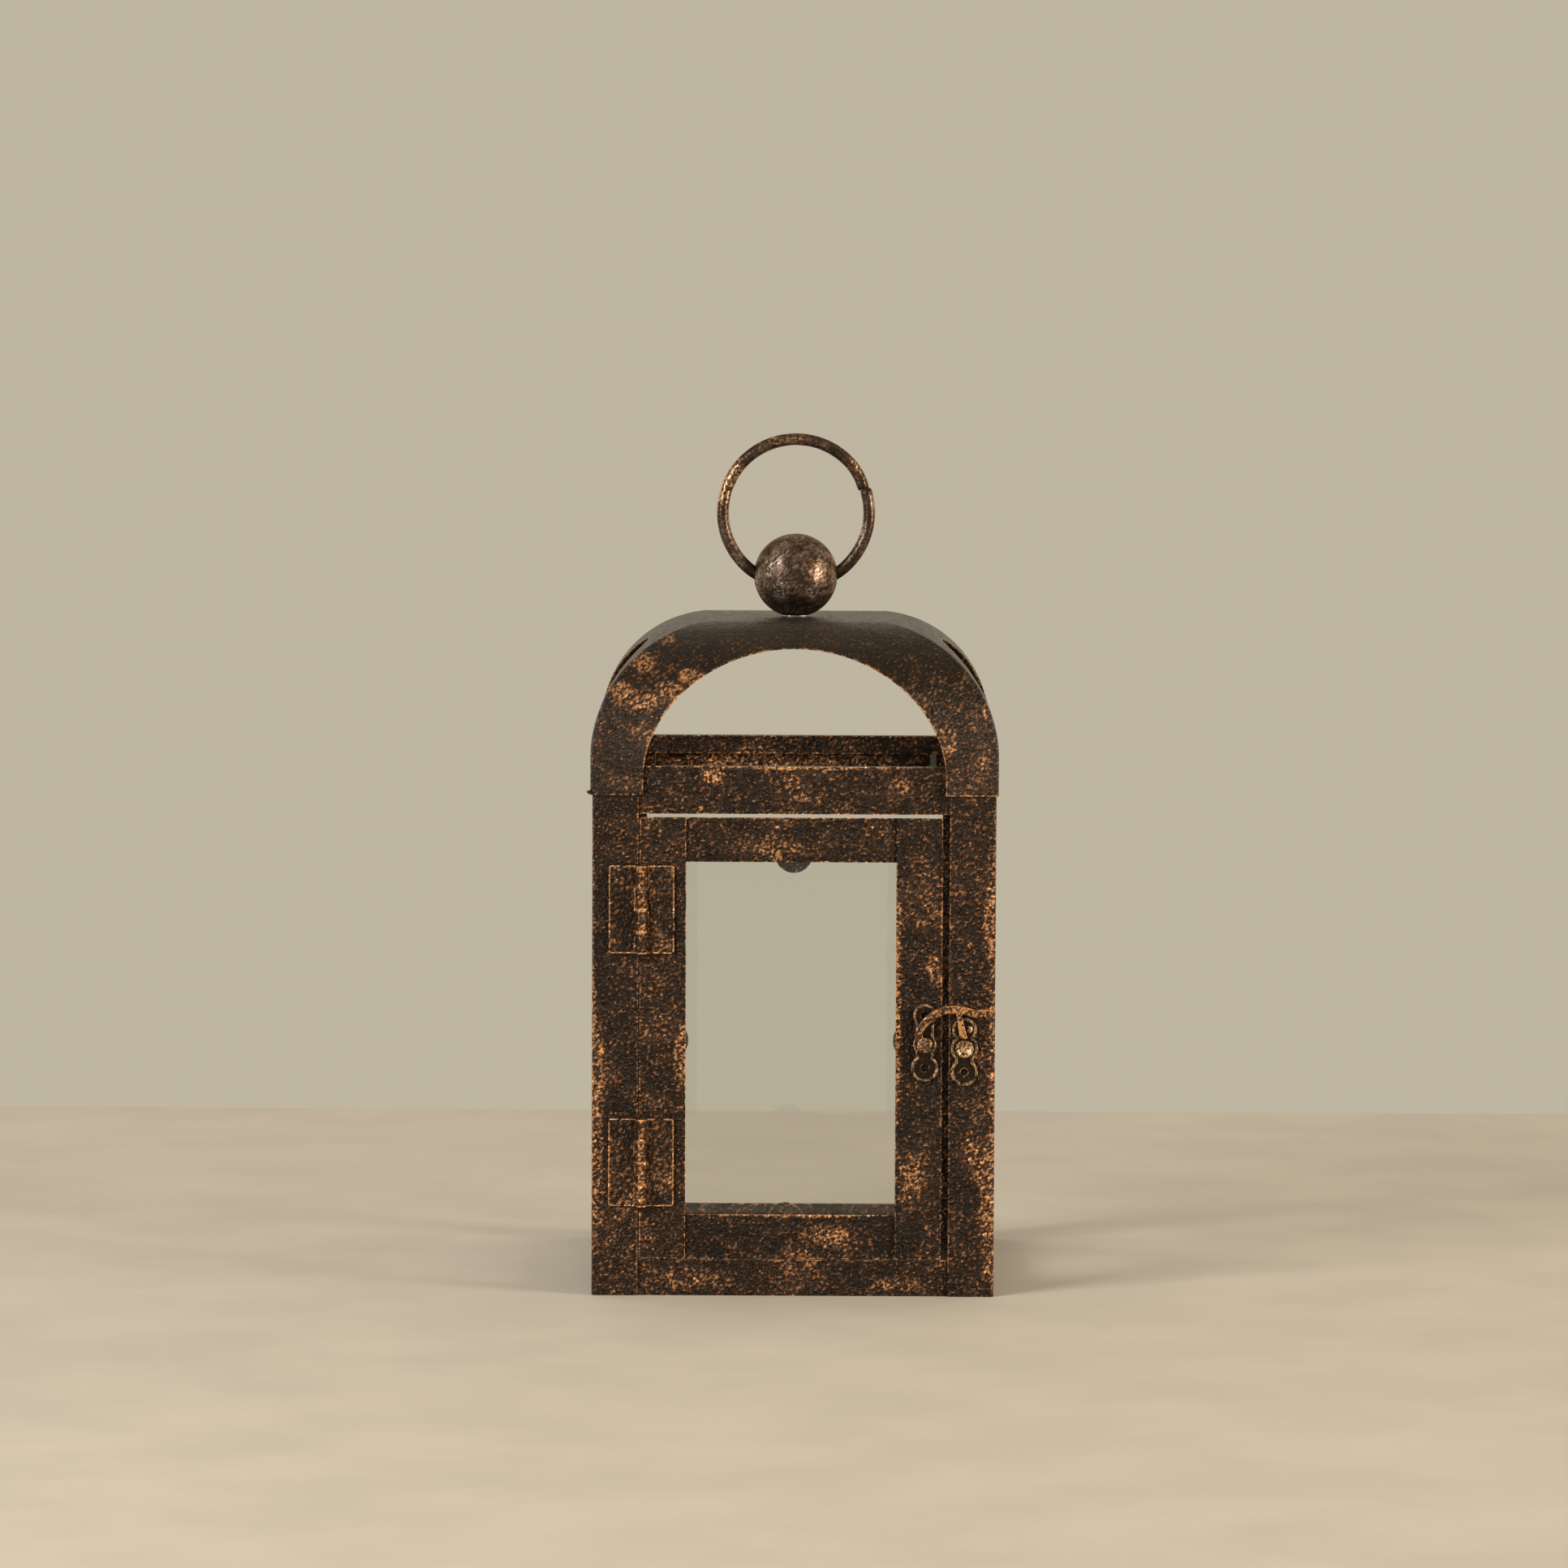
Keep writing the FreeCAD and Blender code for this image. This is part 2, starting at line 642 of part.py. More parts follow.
# Latch
def lobed(side, lobes, start, depth, inset):
    """Round lobes in a row joined by a neck, as a plate standing off the frame towards -Y."""
    parts = [rod("%s - %s" % (radius, inset), depth, side, start, height, TO_FRONT)
             for radius, height in lobes]
    neck = ("%s - plate_neck_half + %s" % (side, inset), "%s + plate_neck_half - %s" % (side, inset))
    parts.append(box(neck, ("%s - (%s)" % (start, depth), start), (lobes[0][1], lobes[-1][1])))
    return fuse(*parts)


def latch_plate(side, lobes, holes):
    """Lobed plate with a raised rim and its holes."""
    solid = lobed(side, lobes, "-post_half", "plate_thick", "0")
    dish = lobed(side, lobes, "-plate_face + plate_dish_depth", "plate_dish_depth + overrun",
                 "plate_rim_width")
    bores = [rod(radius, "plate_thick + 2 * overrun", side, "-post_half + overrun", height, TO_FRONT)
             for radius, height in holes]
    return cut(solid, dish, *bores)


def build_latch_plates():
    """The plate that carries the hook on the door, and the plate that carries the stud on the post."""
    door_lobes = (("door_plate_low_radius", "latch_height - door_plate_fall"),
                  ("door_plate_mid_radius", "latch_height"),
                  ("door_plate_top_radius", "latch_height + door_plate_rise"))
    door_holes = (("plate_hole_radius", "latch_height - door_plate_fall"),
                  ("rivet_radius + fit_gap", "latch_height"),
                  ("plate_hole_radius", "latch_height + door_plate_rise"))
    piece("latch_door_plate", latch_plate("latch_side", door_lobes, door_holes))
    post_lobes = (("post_plate_radius", "post_plate_low"), ("post_plate_radius", "stud_height"),
                  ("post_plate_top_radius", "stud_height + post_plate_rise"))
    post_holes = (("plate_hole_radius", "post_plate_low"), ("stud_neck_radius + fit_gap", "stud_height"))
    piece("latch_post_plate", latch_plate("post_plate_side", post_lobes, post_holes))


def build_latch_fasteners():
    """Rivet that the hook turns on, and the round-headed stud that the hook drops over."""
    rivet = turned_body((
        ("0", "0"), ("rivet_tail_radius", "0"), ("rivet_tail_radius", "rivet_tail_height"),
        ("rivet_radius", "rivet_tail_height"), ("rivet_radius", "rivet_neck_end"),
        ("rivet_head_radius", "rivet_neck_end"), ("rivet_head_radius", "rivet_brow"),
        ("rivet_crown", "rivet_end"), ("0", "rivet_end")))
    put(rivet, "latch_side", "-post_inner + rivet_tail_height", "latch_height", TO_FRONT)
    piece("latch_pivot_rivet", rivet)
    stud = turned_body((
        ("0", "0"), ("stud_radius", "0"), ("stud_radius", "rivet_tail_height"),
        ("stud_neck_radius", "rivet_tail_height"), ("stud_neck_radius", "stud_neck_end"),
        ("stud_brow", "stud_neck_end"), ("stud_radius", "stud_swell"), ("stud_brow", "stud_end"),
        ("stud_rim", "stud_end"), ("stud_neck_radius", "stud_floor"), ("0", "stud_floor")))
    put(stud, "post_plate_side", "-post_inner + rivet_tail_height", "stud_height", TO_FRONT)
    piece("latch_stud", stud)


def hook_point(shares):
    """A point of the hook in its own plane, from shares of its reach and rise."""
    return Vector(number("latch_side") + shares[0] * number("hook_reach"), 0,
                  number("latch_height") + shares[1] * number("hook_rise"))


def horn_sides(line, spots, half):
    """The two smooth sides of the horn, half a width to each side of its middle line."""
    sides = ([], [])
    for spot in spots:
        along = line.tangent(line.parameter(spot))[0]
        across = Vector(-along.z, 0, along.x).normalize() * half
        sides[0].append(spot + across)
        sides[1].append(spot - across)
    curves = []
    for points in sides:
        curve = Part.BSplineCurve()
        curve.interpolate(points)
        curves.append(curve)
    return curves


def build_hook():
    """Horn-shaped hook: eye on the rivet, curved arm with a knob, and a finger that drops to the stud."""
    spots = [hook_point(shares) for shares in HORN_LINE_SHARES]
    line = Part.BSplineCurve()
    line.interpolate(spots)
    half = number("hook_half_width")
    upper, lower = horn_sides(line, spots, half)
    front = Vector(0, -number("hook_thick"), 0)
    ends = [Part.makeLine(upper.EndPoint, lower.EndPoint), Part.makeLine(lower.StartPoint, upper.StartPoint)]
    band = Part.Wire(Part.sortEdges([upper.toShape(), lower.toShape()] + ends)[0])
    solid = Part.Face(band).extrude(front)
    forward = Vector(0, -1, 0)
    pivot = hook_point((0, 0))
    eye = Part.makeCylinder(number("hook_eye_radius"), number("hook_thick"), pivot, forward)
    knob = Part.makeCylinder(number("hook_knob_radius"), number("hook_thick"), spots[-1], forward)
    top = hook_point(FINGER_TOP_SHARES)
    tip_x = number("post_plate_side") - number("finger_lean")
    tip_z = number("stud_height") + number("stud_radius") + number("gap")
    top_half = number("finger_top_width") / 2
    tip_half = number("finger_tip_width") / 2
    corners = [Vector(top.x - top_half, 0, top.z), Vector(top.x + top_half, 0, top.z),
               Vector(tip_x + tip_half, 0, tip_z), Vector(tip_x - tip_half, 0, tip_z)]
    finger = Part.Face(Part.makePolygon(corners + corners[:1])).extrude(front)
    bore_radius = number("rivet_radius") + number("fit_gap")
    bore = Part.makeCylinder(bore_radius, number("hook_thick"), pivot, forward)
    whole = solid.fuse([eye, knob, finger]).removeSplitter().cut(bore)
    item = doc.addObject("Part::Feature", "hook")
    item.Shape = whole
    put(item, y="-hook_back")
    piece("latch_hook", item)


def check_and_export():
    """Check every object and every piece, then write one file for each piece."""
    doc.recompute()
    for item in doc.Objects:
        if "Invalid" in item.State or "Error" in item.State:
            raise RuntimeError("failed object: %s %s" % (item.Name, item.Label))
    for item in pieces:
        if item.Shape.isNull() or not item.Shape.isValid():
            raise RuntimeError("bad shape: " + item.Label)
    os.makedirs("parts", exist_ok=True)
    for item in pieces:
        item.Shape.exportStep("parts/%s.step" % item.Label)
        print("%-24s %9.1f mm3, solids %d" % (item.Label, item.Shape.Volume, len(item.Shape.Solids)))


fill_sheets()
build_base_plate()
build_posts()
build_rails()
build_fixed_panes()
build_roof()
build_finial()
build_ring()
build_door_frame()
build_door_pane()
build_hinges()
build_latch_plates()
build_latch_fasteners()
build_hook()
check_and_export()
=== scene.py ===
"""Arched metal lantern: hammered bronze paint rubbed with copper, clear panes, worn details and a studio."""
import logging
import math
from dataclasses import dataclass
from enum import Enum

import bmesh
import bpy
from mathutils import Euler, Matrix, Quaternion, Vector, noise


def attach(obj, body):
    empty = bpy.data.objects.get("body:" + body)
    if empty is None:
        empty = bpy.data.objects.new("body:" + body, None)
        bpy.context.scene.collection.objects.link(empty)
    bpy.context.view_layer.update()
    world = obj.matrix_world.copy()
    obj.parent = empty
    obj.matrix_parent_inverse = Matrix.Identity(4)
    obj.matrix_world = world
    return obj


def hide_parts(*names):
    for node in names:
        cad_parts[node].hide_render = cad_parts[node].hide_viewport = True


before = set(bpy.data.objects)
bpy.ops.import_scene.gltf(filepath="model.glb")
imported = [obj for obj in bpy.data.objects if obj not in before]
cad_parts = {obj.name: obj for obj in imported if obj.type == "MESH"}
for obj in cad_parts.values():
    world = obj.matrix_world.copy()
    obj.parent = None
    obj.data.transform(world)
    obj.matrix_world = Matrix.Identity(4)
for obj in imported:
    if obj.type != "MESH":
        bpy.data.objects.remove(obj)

LOG = logging.getLogger("lantern")
MM = 0.001

Colour = tuple[float, float, float]
Place = tuple[float, float, float]
Feed = float | Colour | bpy.types.NodeSocket
Range = tuple[float, ...]

# Sockets of a Mix node that mixes colours
MIX_FIRST, MIX_SECOND, MIX_RESULT = 6, 7, 2

# Eased ranges: value at the start, value at the end and, where they aren't 0 and 1, both results
PEBBLE_RANGE: Range = (0.68, 0.12)
GRAIN_RANGE: Range = (0.34, 0.68)
PATCH_RANGE: Range = (1.0, 0.3)
SHELTER_RANGE: Range = (0.92, 0.35)
EDGE_RANGE: Range = (0.995, 0.88)
TOP_HIGHLIGHT_RANGE: Range = (0.1, 0.9)
BROKEN_RANGE: Range = (0.32, 0.58, 0.15, 1.0)
GLAZE_RANGE: Range = (-0.22, 0.45)
COPPER_RANGE: Range = (-0.02, 0.78)
BROWN_RANGE: Range = (0.35, 0.70, 0.0, 0.7)
DENT_SHADE_RANGE: Range = (0.05, 0.75, 0.15, 1.0)
BRIGHT_RANGE: Range = (0.45, 1.05)
LEVEL_RANGE: Range = (0.93, 0.985)
SPECK_RANGE: Range = (0.25, 0.75, 0.3, 1.0)
GLOSS_RANGE: Range = (0.3, 0.7)
FILM_RANGE: Range = (0.3, 0.8, 0.0, 0.03)
MARK_RANGE: Range = (0.3, 0.7, 0.3, 0.5)
STAIN_RANGE: Range = (0.4, 0.7)
FLOOR_RANGE: Range = (0.3, 0.7, 0.96, 1.04)

SLANT: Place = (0.577, 0.577, 0.577)
MIDDLE_GREY: Colour = (0.5, 0.5, 0.5)
PEBBLE_SMOOTHNESS = 0.45
SHELTER_SAMPLES = 4
EDGE_SAMPLES = 6
WELD_DISTANCE = 0.002
BUTTON_OUTLINE = ((0.0, 1.0), (0.35, 0.98), (0.7, 0.8), (0.92, 0.5), (1.0, 0.15))
BUTTON_AROUND = 24


class Tone(Enum):
    """Colours of the lantern's finishes and of the studio, linear."""

    NIGHT_BROWN = (0.005, 0.003, 0.002)
    UMBER = (0.026, 0.012, 0.006)
    RUSSET = (0.150, 0.064, 0.028)
    DEEP_COPPER = (0.195, 0.084, 0.036)
    BRIGHT_COPPER = (0.650, 0.300, 0.115)
    # Dusty tone, also a painted sheen on level tops
    DUST_AND_SHEEN = (0.240, 0.220, 0.175)
    SOOT = (0.032, 0.021, 0.015)
    GOLD = (0.620, 0.380, 0.200)
    BRONZE = (0.260, 0.182, 0.128)
    PALE_BRONZE = (0.460, 0.335, 0.245)
    STEEL = (0.350, 0.340, 0.330)
    PANE = (0.925, 0.935, 0.920)
    WALL = (0.520, 0.465, 0.360)
    TABLE = (0.570, 0.480, 0.355)
    DAYLIGHT = (1.000, 0.985, 0.950)
    COOL = (0.940, 0.970, 1.000)
    WARM = (1.000, 0.930, 0.830)
    WARM_GLINT = (1.000, 0.800, 0.620)


@dataclass(frozen=True)
class Rub:
    """A soft patch where the copper shows through, in millimetres in the lantern's frame; some patches are
    painted highlights, and some with a negative strength are painted shade.
    """

    centre: Place
    reach: Place
    strength: float = 1.0


class Wiring:
    """Adds shader nodes to one material and links them."""

    def __init__(self, name: str) -> None:
        """Start an empty material of that name."""
        self.material = bpy.data.materials.new(name)
        self.material.use_nodes = True
        self.tree = self.material.node_tree
        self.tree.nodes.clear()
        scale = self.add("ShaderNodeVectorMath", operation="SCALE")
        self.feed(scale.inputs[0], self.add("ShaderNodeTexCoord").outputs["Object"])
        self.feed(scale.inputs["Scale"], 1.0 / MM)
        self.place = scale.outputs[0]

    def add(self, kind: str, **settings: object) -> bpy.types.Node:
        """Add a node and set its properties.

        Args:
            kind: Blender's identifier of the node.
            settings: Properties of the node by name.

        Returns:
            The new node.
        """
        node = self.tree.nodes.new(kind)
        for key, value in settings.items():
            setattr(node, key, value)
        return node

    def feed(self, socket: bpy.types.NodeSocket, value: Feed) -> None:
        """Link a socket, or set its plain value.

        Args:
            socket: The input that is fed.
            value: Another socket, a number, a colour or a place.
        """
        if isinstance(value, bpy.types.NodeSocket):
            self.tree.links.new(value, socket)
        elif isinstance(value, tuple) and socket.type == "RGBA":
            socket.default_value = (*value, 1.0)
        else:
            socket.default_value = value

    def axis(self, vector: Feed, letter: str) -> bpy.types.NodeSocket:
        """One part of a vector.

        Args:
            vector: The vector.
            letter: X, Y or Z.

        Returns:
            The part's socket.
        """
        apart = self.add("ShaderNodeSeparateXYZ")
        self.feed(apart.inputs[0], vector)
        return apart.outputs[letter]

    def sum(self, operation: str, first: Feed, second: Feed = 0.0) -> bpy.types.NodeSocket:
        """One step of arithmetic.

        Args:
            operation: Name of the Math node's operation.
            first: First number.
            second: Second number.

        Returns:
            The result's socket.
        """
        node = self.add("ShaderNodeMath", operation=operation)
        self.feed(node.inputs[0], first)
        self.feed(node.inputs[1], second)
        return node.outputs[0]

    def spread(self, value: Feed, low: float, high: float, start: float = 0.0,
               end: float = 1.0) -> bpy.types.NodeSocket:
        """Ease a value from one range into another.

        Args:
            value: The value.
            low: Value that gives start.
            high: Value that gives end.
            start: Result at low.
            end: Result at high.

        Returns:
            The eased value's socket.
        """
        node = self.add("ShaderNodeMapRange", interpolation_type="SMOOTHSTEP")
        for key, number in (("Value", value), ("From Min", low), ("From Max", high),
                            ("To Min", start), ("To Max", end)):
            self.feed(node.inputs[key], number)
        return node.outputs[0]

    def mottle(self, size: float, detail: float = 2.0, place: Feed | None = None,
               roughness: float = 0.5, swirl: float = 0.0) -> bpy.types.Node:
        """Cloudy noise.

        Args:
            size: Size of its main blobs in millimetres.
            detail: Number of finer layers.
            place: Coordinates, the object's own where none are given.
            roughness: Share of the finer layers.
            swirl: Strength of the swirling.

        Returns:
            The noise node, with Fac and Color outputs.
        """
        node = self.add("ShaderNodeTexNoise")
        self.feed(node.inputs["Vector"], place or self.place)
        self.feed(node.inputs["Scale"], 1.0 / size)
        self.feed(node.inputs["Detail"], detail)
        self.feed(node.inputs["Roughness"], roughness)
        self.feed(node.inputs["Distortion"], swirl)
        return node

    def patchy(self, size: float, limits: Range, detail: float = 3.0) -> bpy.types.NodeSocket:
        """Cloudy noise eased into a range.

        Args:
            size: Size of its main blobs in millimetres.
            limits: The eased range.
            detail: Number of finer layers.

        Returns:
            The eased noise's socket.
        """
        return self.spread(self.mottle(size, detail).outputs["Fac"], *limits)

    def swing(self, size: float, amount: float) -> bpy.types.NodeSocket:
        """Cloudy noise that swings about zero.

        Args:
            size: Size of its main blobs in millimetres.
            amount: Width of the whole swing.

        Returns:
            The noise's socket.
        """
        centred = self.sum("SUBTRACT", self.mottle(size, 3.0).outputs["Fac"], 0.5)
        return self.sum("MULTIPLY", centred, amount)

    def leaned(self, share: float) -> bpy.types.NodeSocket:
        """Coordinates in which marks come out longer along one slanted direction.

        Args:
            share: How much of the slanted direction is taken away.

        Returns:
            The coordinates' socket.
        """
        along = self.add("ShaderNodeVectorMath", operation="DOT_PRODUCT")
        self.feed(along.inputs[0], self.place)
        self.feed(along.inputs[1], SLANT)
        taken = self.add("ShaderNodeVectorMath", operation="SCALE")
        self.feed(taken.inputs[0], SLANT)
        self.feed(taken.inputs["Scale"], self.sum("MULTIPLY", along.outputs["Value"], share))
        left = self.add("ShaderNodeVectorMath", operation="SUBTRACT")
        self.feed(left.inputs[0], self.place)
        self.feed(left.inputs[1], taken.outputs[0])
        return left.outputs[0]

    def shifted(self, by: Feed, amount: float, place: Feed) -> bpy.types.NodeSocket:
        """Coordinates pushed about by a colour.

        Args:
            by: Colour whose middle grey pushes nothing.
            amount: Push in millimetres for the whole range.
            place: Coordinates that are pushed.

        Returns:
            The pushed coordinates' socket.
        """
        centred = self.add("ShaderNodeVectorMath", operation="SUBTRACT")
        self.feed(centred.inputs[0], by)
        self.feed(centred.inputs[1], MIDDLE_GREY)
        scaled = self.add("ShaderNodeVectorMath", operation="SCALE")
        self.feed(scaled.inputs[0], centred.outputs[0])
        self.feed(scaled.inputs["Scale"], amount)
        moved = self.add("ShaderNodeVectorMath", operation="ADD")
        self.feed(moved.inputs[0], place)
        self.feed(moved.inputs[1], scaled.outputs[0])
        return moved.outputs[0]

    def pebbles(self, size: float, place: Feed) -> bpy.types.NodeSocket:
        """Rounded bumps side by side, one at their tops.

        Args:
            size: Size of a bump in millimetres.
            place: Coordinates.

        Returns:
            The height's socket, from about 0 to 1.
        """
        node = self.add("ShaderNodeTexVoronoi", feature="SMOOTH_F1")
        self.feed(node.inputs["Vector"], place)
        self.feed(node.inputs["Scale"], 1.0 / size)
        self.feed(node.inputs["Smoothness"], PEBBLE_SMOOTHNESS)
        return self.spread(node.outputs["Distance"], *PEBBLE_RANGE)

    def rubbed(self, rub: Rub) -> bpy.types.NodeSocket:
        """Strength of one soft patch.

        Args:
            rub: The patch.

        Returns:
            The strength's socket, zero outside the patch.
        """
        offset = self.add("ShaderNodeVectorMath", operation="SUBTRACT")
        self.feed(offset.inputs[0], self.place)
        self.feed(offset.inputs[1], rub.centre)
        share = self.add("ShaderNodeVectorMath", operation="DIVIDE")
        self.feed(share.inputs[0], offset.outputs[0])
        self.feed(share.inputs[1], rub.reach)
        length = self.add("ShaderNodeVectorMath", operation="LENGTH")
        self.feed(length.inputs[0], share.outputs[0])
        return self.spread(length.outputs["Value"], *PATCH_RANGE, 0.0, rub.strength)

    def shade_and_shelter_in_corners(self, reach: float) -> bpy.types.NodeSocket:
        """How far a spot lies in a corner or beside a step, found by ambient occlusion: it is painted shade
        there, and the copper rubs through less.

        Args:
            reach: How far the neighbours count, in millimetres.

        Returns:
            The socket, zero on an open face.
        """
        node = self.add("ShaderNodeAmbientOcclusion", samples=SHELTER_SAMPLES)
        self.feed(node.inputs["Distance"], reach * MM)
        return self.spread(node.outputs["AO"], *SHELTER_RANGE)

    def edges(self, radius: float) -> bpy.types.NodeSocket:
        """How close the surface is to a corner of its own piece.

        Args:
            radius: Width of the worn line in millimetres.

        Returns:
            The closeness's socket, one on the corner.
        """
        rounding = self.add("ShaderNodeBevel", samples=EDGE_SAMPLES)
        self.feed(rounding.inputs["Radius"], radius * MM)
        compare = self.add("ShaderNodeVectorMath", operation="DOT_PRODUCT")
        self.feed(compare.inputs[0], rounding.outputs[0])
        self.feed(compare.inputs[1], self.add("ShaderNodeNewGeometry").outputs["Normal"])
        return self.spread(compare.outputs["Value"], *EDGE_RANGE)

    def mix(self, factor: Feed, first: Feed, second: Feed) -> bpy.types.NodeSocket:
        """Blend of two colours.

        Args:
            factor: Share of the second.
            first: First colour.
            second: Second colour.

        Returns:
            The blend's socket.
        """
        node = self.add("ShaderNodeMix", data_type="RGBA")
        self.feed(node.inputs["Factor"], factor)
        self.feed(node.inputs[MIX_FIRST], first)
        self.feed(node.inputs[MIX_SECOND], second)
        return node.outputs[MIX_RESULT]

    def shade(self, **inputs: Feed) -> bpy.types.Material:
        """End the material with one shader.

        Args:
            inputs: The shader's inputs by name, with _ for a space.

        Returns:
            The finished material.
        """
        shader = self.add("ShaderNodeBsdfPrincipled")
        for key, value in inputs.items():
            self.feed(shader.inputs[key.replace("_", " ")], value)
        output = self.add("ShaderNodeOutputMaterial")
        self.feed(output.inputs["Surface"], shader.outputs[0])
        return self.material


@dataclass(frozen=True)
class RubbedPaint:
    """Dark bronze paint over hammered sheet, with copper rubbed onto the bumps and edges.

    Sizes, widths, reaches and depths are in millimetres. The other numbers are shares.
    """

    name: str
    # Hammered bumps
    pebble: float = 1.25
    relief: float = 0.80
    lean: float = 0.38
    drift_size: float = 2.6
    drift_push: float = 1.5
    grain_share: float = 0.8
    grain_roughness: float = 0.55
    grain_swirl: float = 0.15
    cell_weight: float = 0.45
    # Tones of the paint and of the copper
    dark: Tone = Tone.NIGHT_BROWN
    brown: Tone = Tone.UMBER
    copper: Tone = Tone.DEEP_COPPER
    bright: Tone = Tone.BRIGHT_COPPER
    brown_size: float = 7.0
    bright_size: float = 1.6
    glaze: float = 0.60
    # How far the copper is rubbed through: everywhere, in clouds, on the bumps and at most
    rub: float = -0.08
    cloud: float = 0.9
    cloud_size: float = 22.0
    blotch: float = 0.7
    blotch_size: float = 5.5
    crisp: float = 2.05
    most: float = 0.34
    # Depths in front of which the copper shows, with its strength, and the strength of a painted highlight on
    # what faces up
    raised: tuple[float, float, float] = (0.0, 0.0, 0.0)
    painted_top_highlight: float = 0.0
    rubs: tuple[Rub, ...] = ()
    # Painted shade and less rubbed copper in corners, and wear along edges
    shelter_reach: float = 1.8
    shelter_hides: float = 0.9
    corner_shade_darkens: float = 0.8
    edge: float = 0.9
    edge_width: float = 0.9
    break_size: float = 2.4
    # Heights between which the sheet gets calmer, and how much
    calm_from: float = 0.0
    calm_to: float = 0.0
    calm_rub: float = 0.18
    calm_relief: float = 0.7
    # Gloss, metal, and a dusty tone with a painted sheen on level faces
    shine: float = 0.20
    shine_less: float = 0.05
    shine_more: float = 0.09
    shine_size: float = 3.0
    copper_dulls: float = 0.03
    lustre: float = 0.20
    metal_share: float = 0.7
    metal_floor: float = 0.0
    dust_and_sheen: float = 0.0
    dust_and_sheen_size: float = 2.2

    def hammered(self, w: Wiring) -> bpy.types.NodeSocket:
        """Height of the hammered bumps.

        Args:
            w: The material's wiring.

        Returns:
            The height's socket, from about 0 to 1.
        """
        leaning = w.leaned(self.lean)
        drift = w.mottle(self.drift_size, 1.0)
        cells = w.pebbles(self.pebble, w.shifted(drift.outputs["Color"], self.drift_push, leaning))
        noisy = w.mottle(self.pebble * self.grain_share, 2.0, leaning, self.grain_roughness, self.grain_swirl)
        grain = w.spread(noisy.outputs["Fac"], *GRAIN_RANGE)
        return w.sum("ADD", w.sum("MULTIPLY", cells, self.cell_weight),
                     w.sum("MULTIPLY", grain, 1.0 - self.cell_weight))

    def worn(self, w: Wiring) -> bpy.types.NodeSocket:
        """How far the copper shows on the open faces: rubbed through, in patches some of which are painted
        light or shade, and as a painted highlight on what faces up.

        Args:
            w: The material's wiring.

        Returns:
            The strength's socket.
        """
        rub = w.sum("ADD", w.swing(self.cloud_size, self.cloud), w.swing(self.blotch_size, self.blotch))
        rub = w.sum("ADD", rub, self.rub)
        for patch in self.rubs:
            rub = w.sum("ADD", rub, w.rubbed(patch))
        low, high, strength = self.raised
        if strength:
            rub = w.sum("ADD", rub, w.spread(w.axis(w.place, "Y"), -low, -high, 0.0, strength))
        # Painted highlight: copper lightens what faces up
        if self.painted_top_highlight:
            facing = w.axis(w.add("ShaderNodeNewGeometry").outputs["Normal"], "Z")
            rub = w.sum("ADD", rub, w.spread(facing, *TOP_HIGHLIGHT_RANGE, 0.0, self.painted_top_highlight))
        return rub

    def paint(self, w: Wiring, height: Feed, glaze: Feed, corner_shade_and_shelter: Feed) -> bpy.types.NodeSocket:
        """Colour of the paint: painted shade in the dents and corners, redder where it is rubbed thin.

        Args:
            w: The material's wiring.
            height: Height of the bumps.
            glaze: How thin the paint is rubbed.
            corner_shade_and_shelter: How far the spot lies in a corner.

        Returns:
            The colour's socket.
        """
        under = w.mix(w.patchy(self.brown_size, BROWN_RANGE), self.dark.value, self.brown.value)
        under = w.mix(w.sum("MULTIPLY", glaze, self.glaze), under, Tone.RUSSET.value)
        # Painted shade in the dents between the bumps
        under = w.mix(w.spread(height, *DENT_SHADE_RANGE), self.dark.value, under)
        # Painted shade: darker in corners and beside steps
        return w.mix(w.sum("MULTIPLY", corner_shade_and_shelter, self.corner_shade_darkens), under, self.dark.value)

    def dusted_and_sheened(self, w: Wiring, colour: Feed) -> bpy.types.NodeSocket:
        """Colour with dust on what lies level.

        Args:
            w: The material's wiring.
            colour: Colour under the dusty tone and sheen.

        Returns:
            The colour's socket.
        """
        level = w.axis(w.add("ShaderNodeNewGeometry").outputs["Normal"], "Z")
        cover = w.sum("MULTIPLY", w.spread(level, *LEVEL_RANGE, 0.0, self.dust_and_sheen),
                      w.patchy(self.dust_and_sheen_size, SPECK_RANGE))
        return w.mix(cover, colour, Tone.DUST_AND_SHEEN.value)

    def material(self) -> bpy.types.Material:
        """Make the paint.

        Returns:
            The material.
        """
        w = Wiring(self.name)
        height = self.hammered(w)
        rub = self.worn(w)
        bumps = height
        if self.calm_to > self.calm_from:
            calm = w.spread(w.axis(w.place, "Z"), self.calm_from, self.calm_to)
            rub = w.sum("SUBTRACT", rub, w.sum("MULTIPLY", calm, self.calm_rub))
            depth = w.sum("SUBTRACT", 1.0, w.sum("MULTIPLY", calm, self.calm_relief))
            bumps = w.sum("MULTIPLY", height, depth)
        glaze = w.spread(rub, *GLAZE_RANGE)
        crisp = w.sum("MULTIPLY", w.sum("SUBTRACT", height, 0.5), self.crisp)
        broken = w.patchy(self.break_size, BROKEN_RANGE, 2.0)
        edge = w.sum("MULTIPLY", w.edges(self.edge_width), w.sum("MULTIPLY", broken, self.edge))
        corner_shade_and_shelter = w.shade_and_shelter_in_corners(self.shelter_reach)
        rub = w.sum("ADD", w.sum("MINIMUM", rub, self.most), edge)
        rub = w.sum("SUBTRACT", rub, w.sum("MULTIPLY", corner_shade_and_shelter, self.shelter_hides))
        copper = w.spread(w.sum("ADD", rub, crisp), *COPPER_RANGE)
        polish = w.sum("ADD", rub, w.mottle(self.bright_size, 2.0).outputs["Fac"])
        metal = w.mix(w.spread(polish, *BRIGHT_RANGE), self.copper.value, self.bright.value)
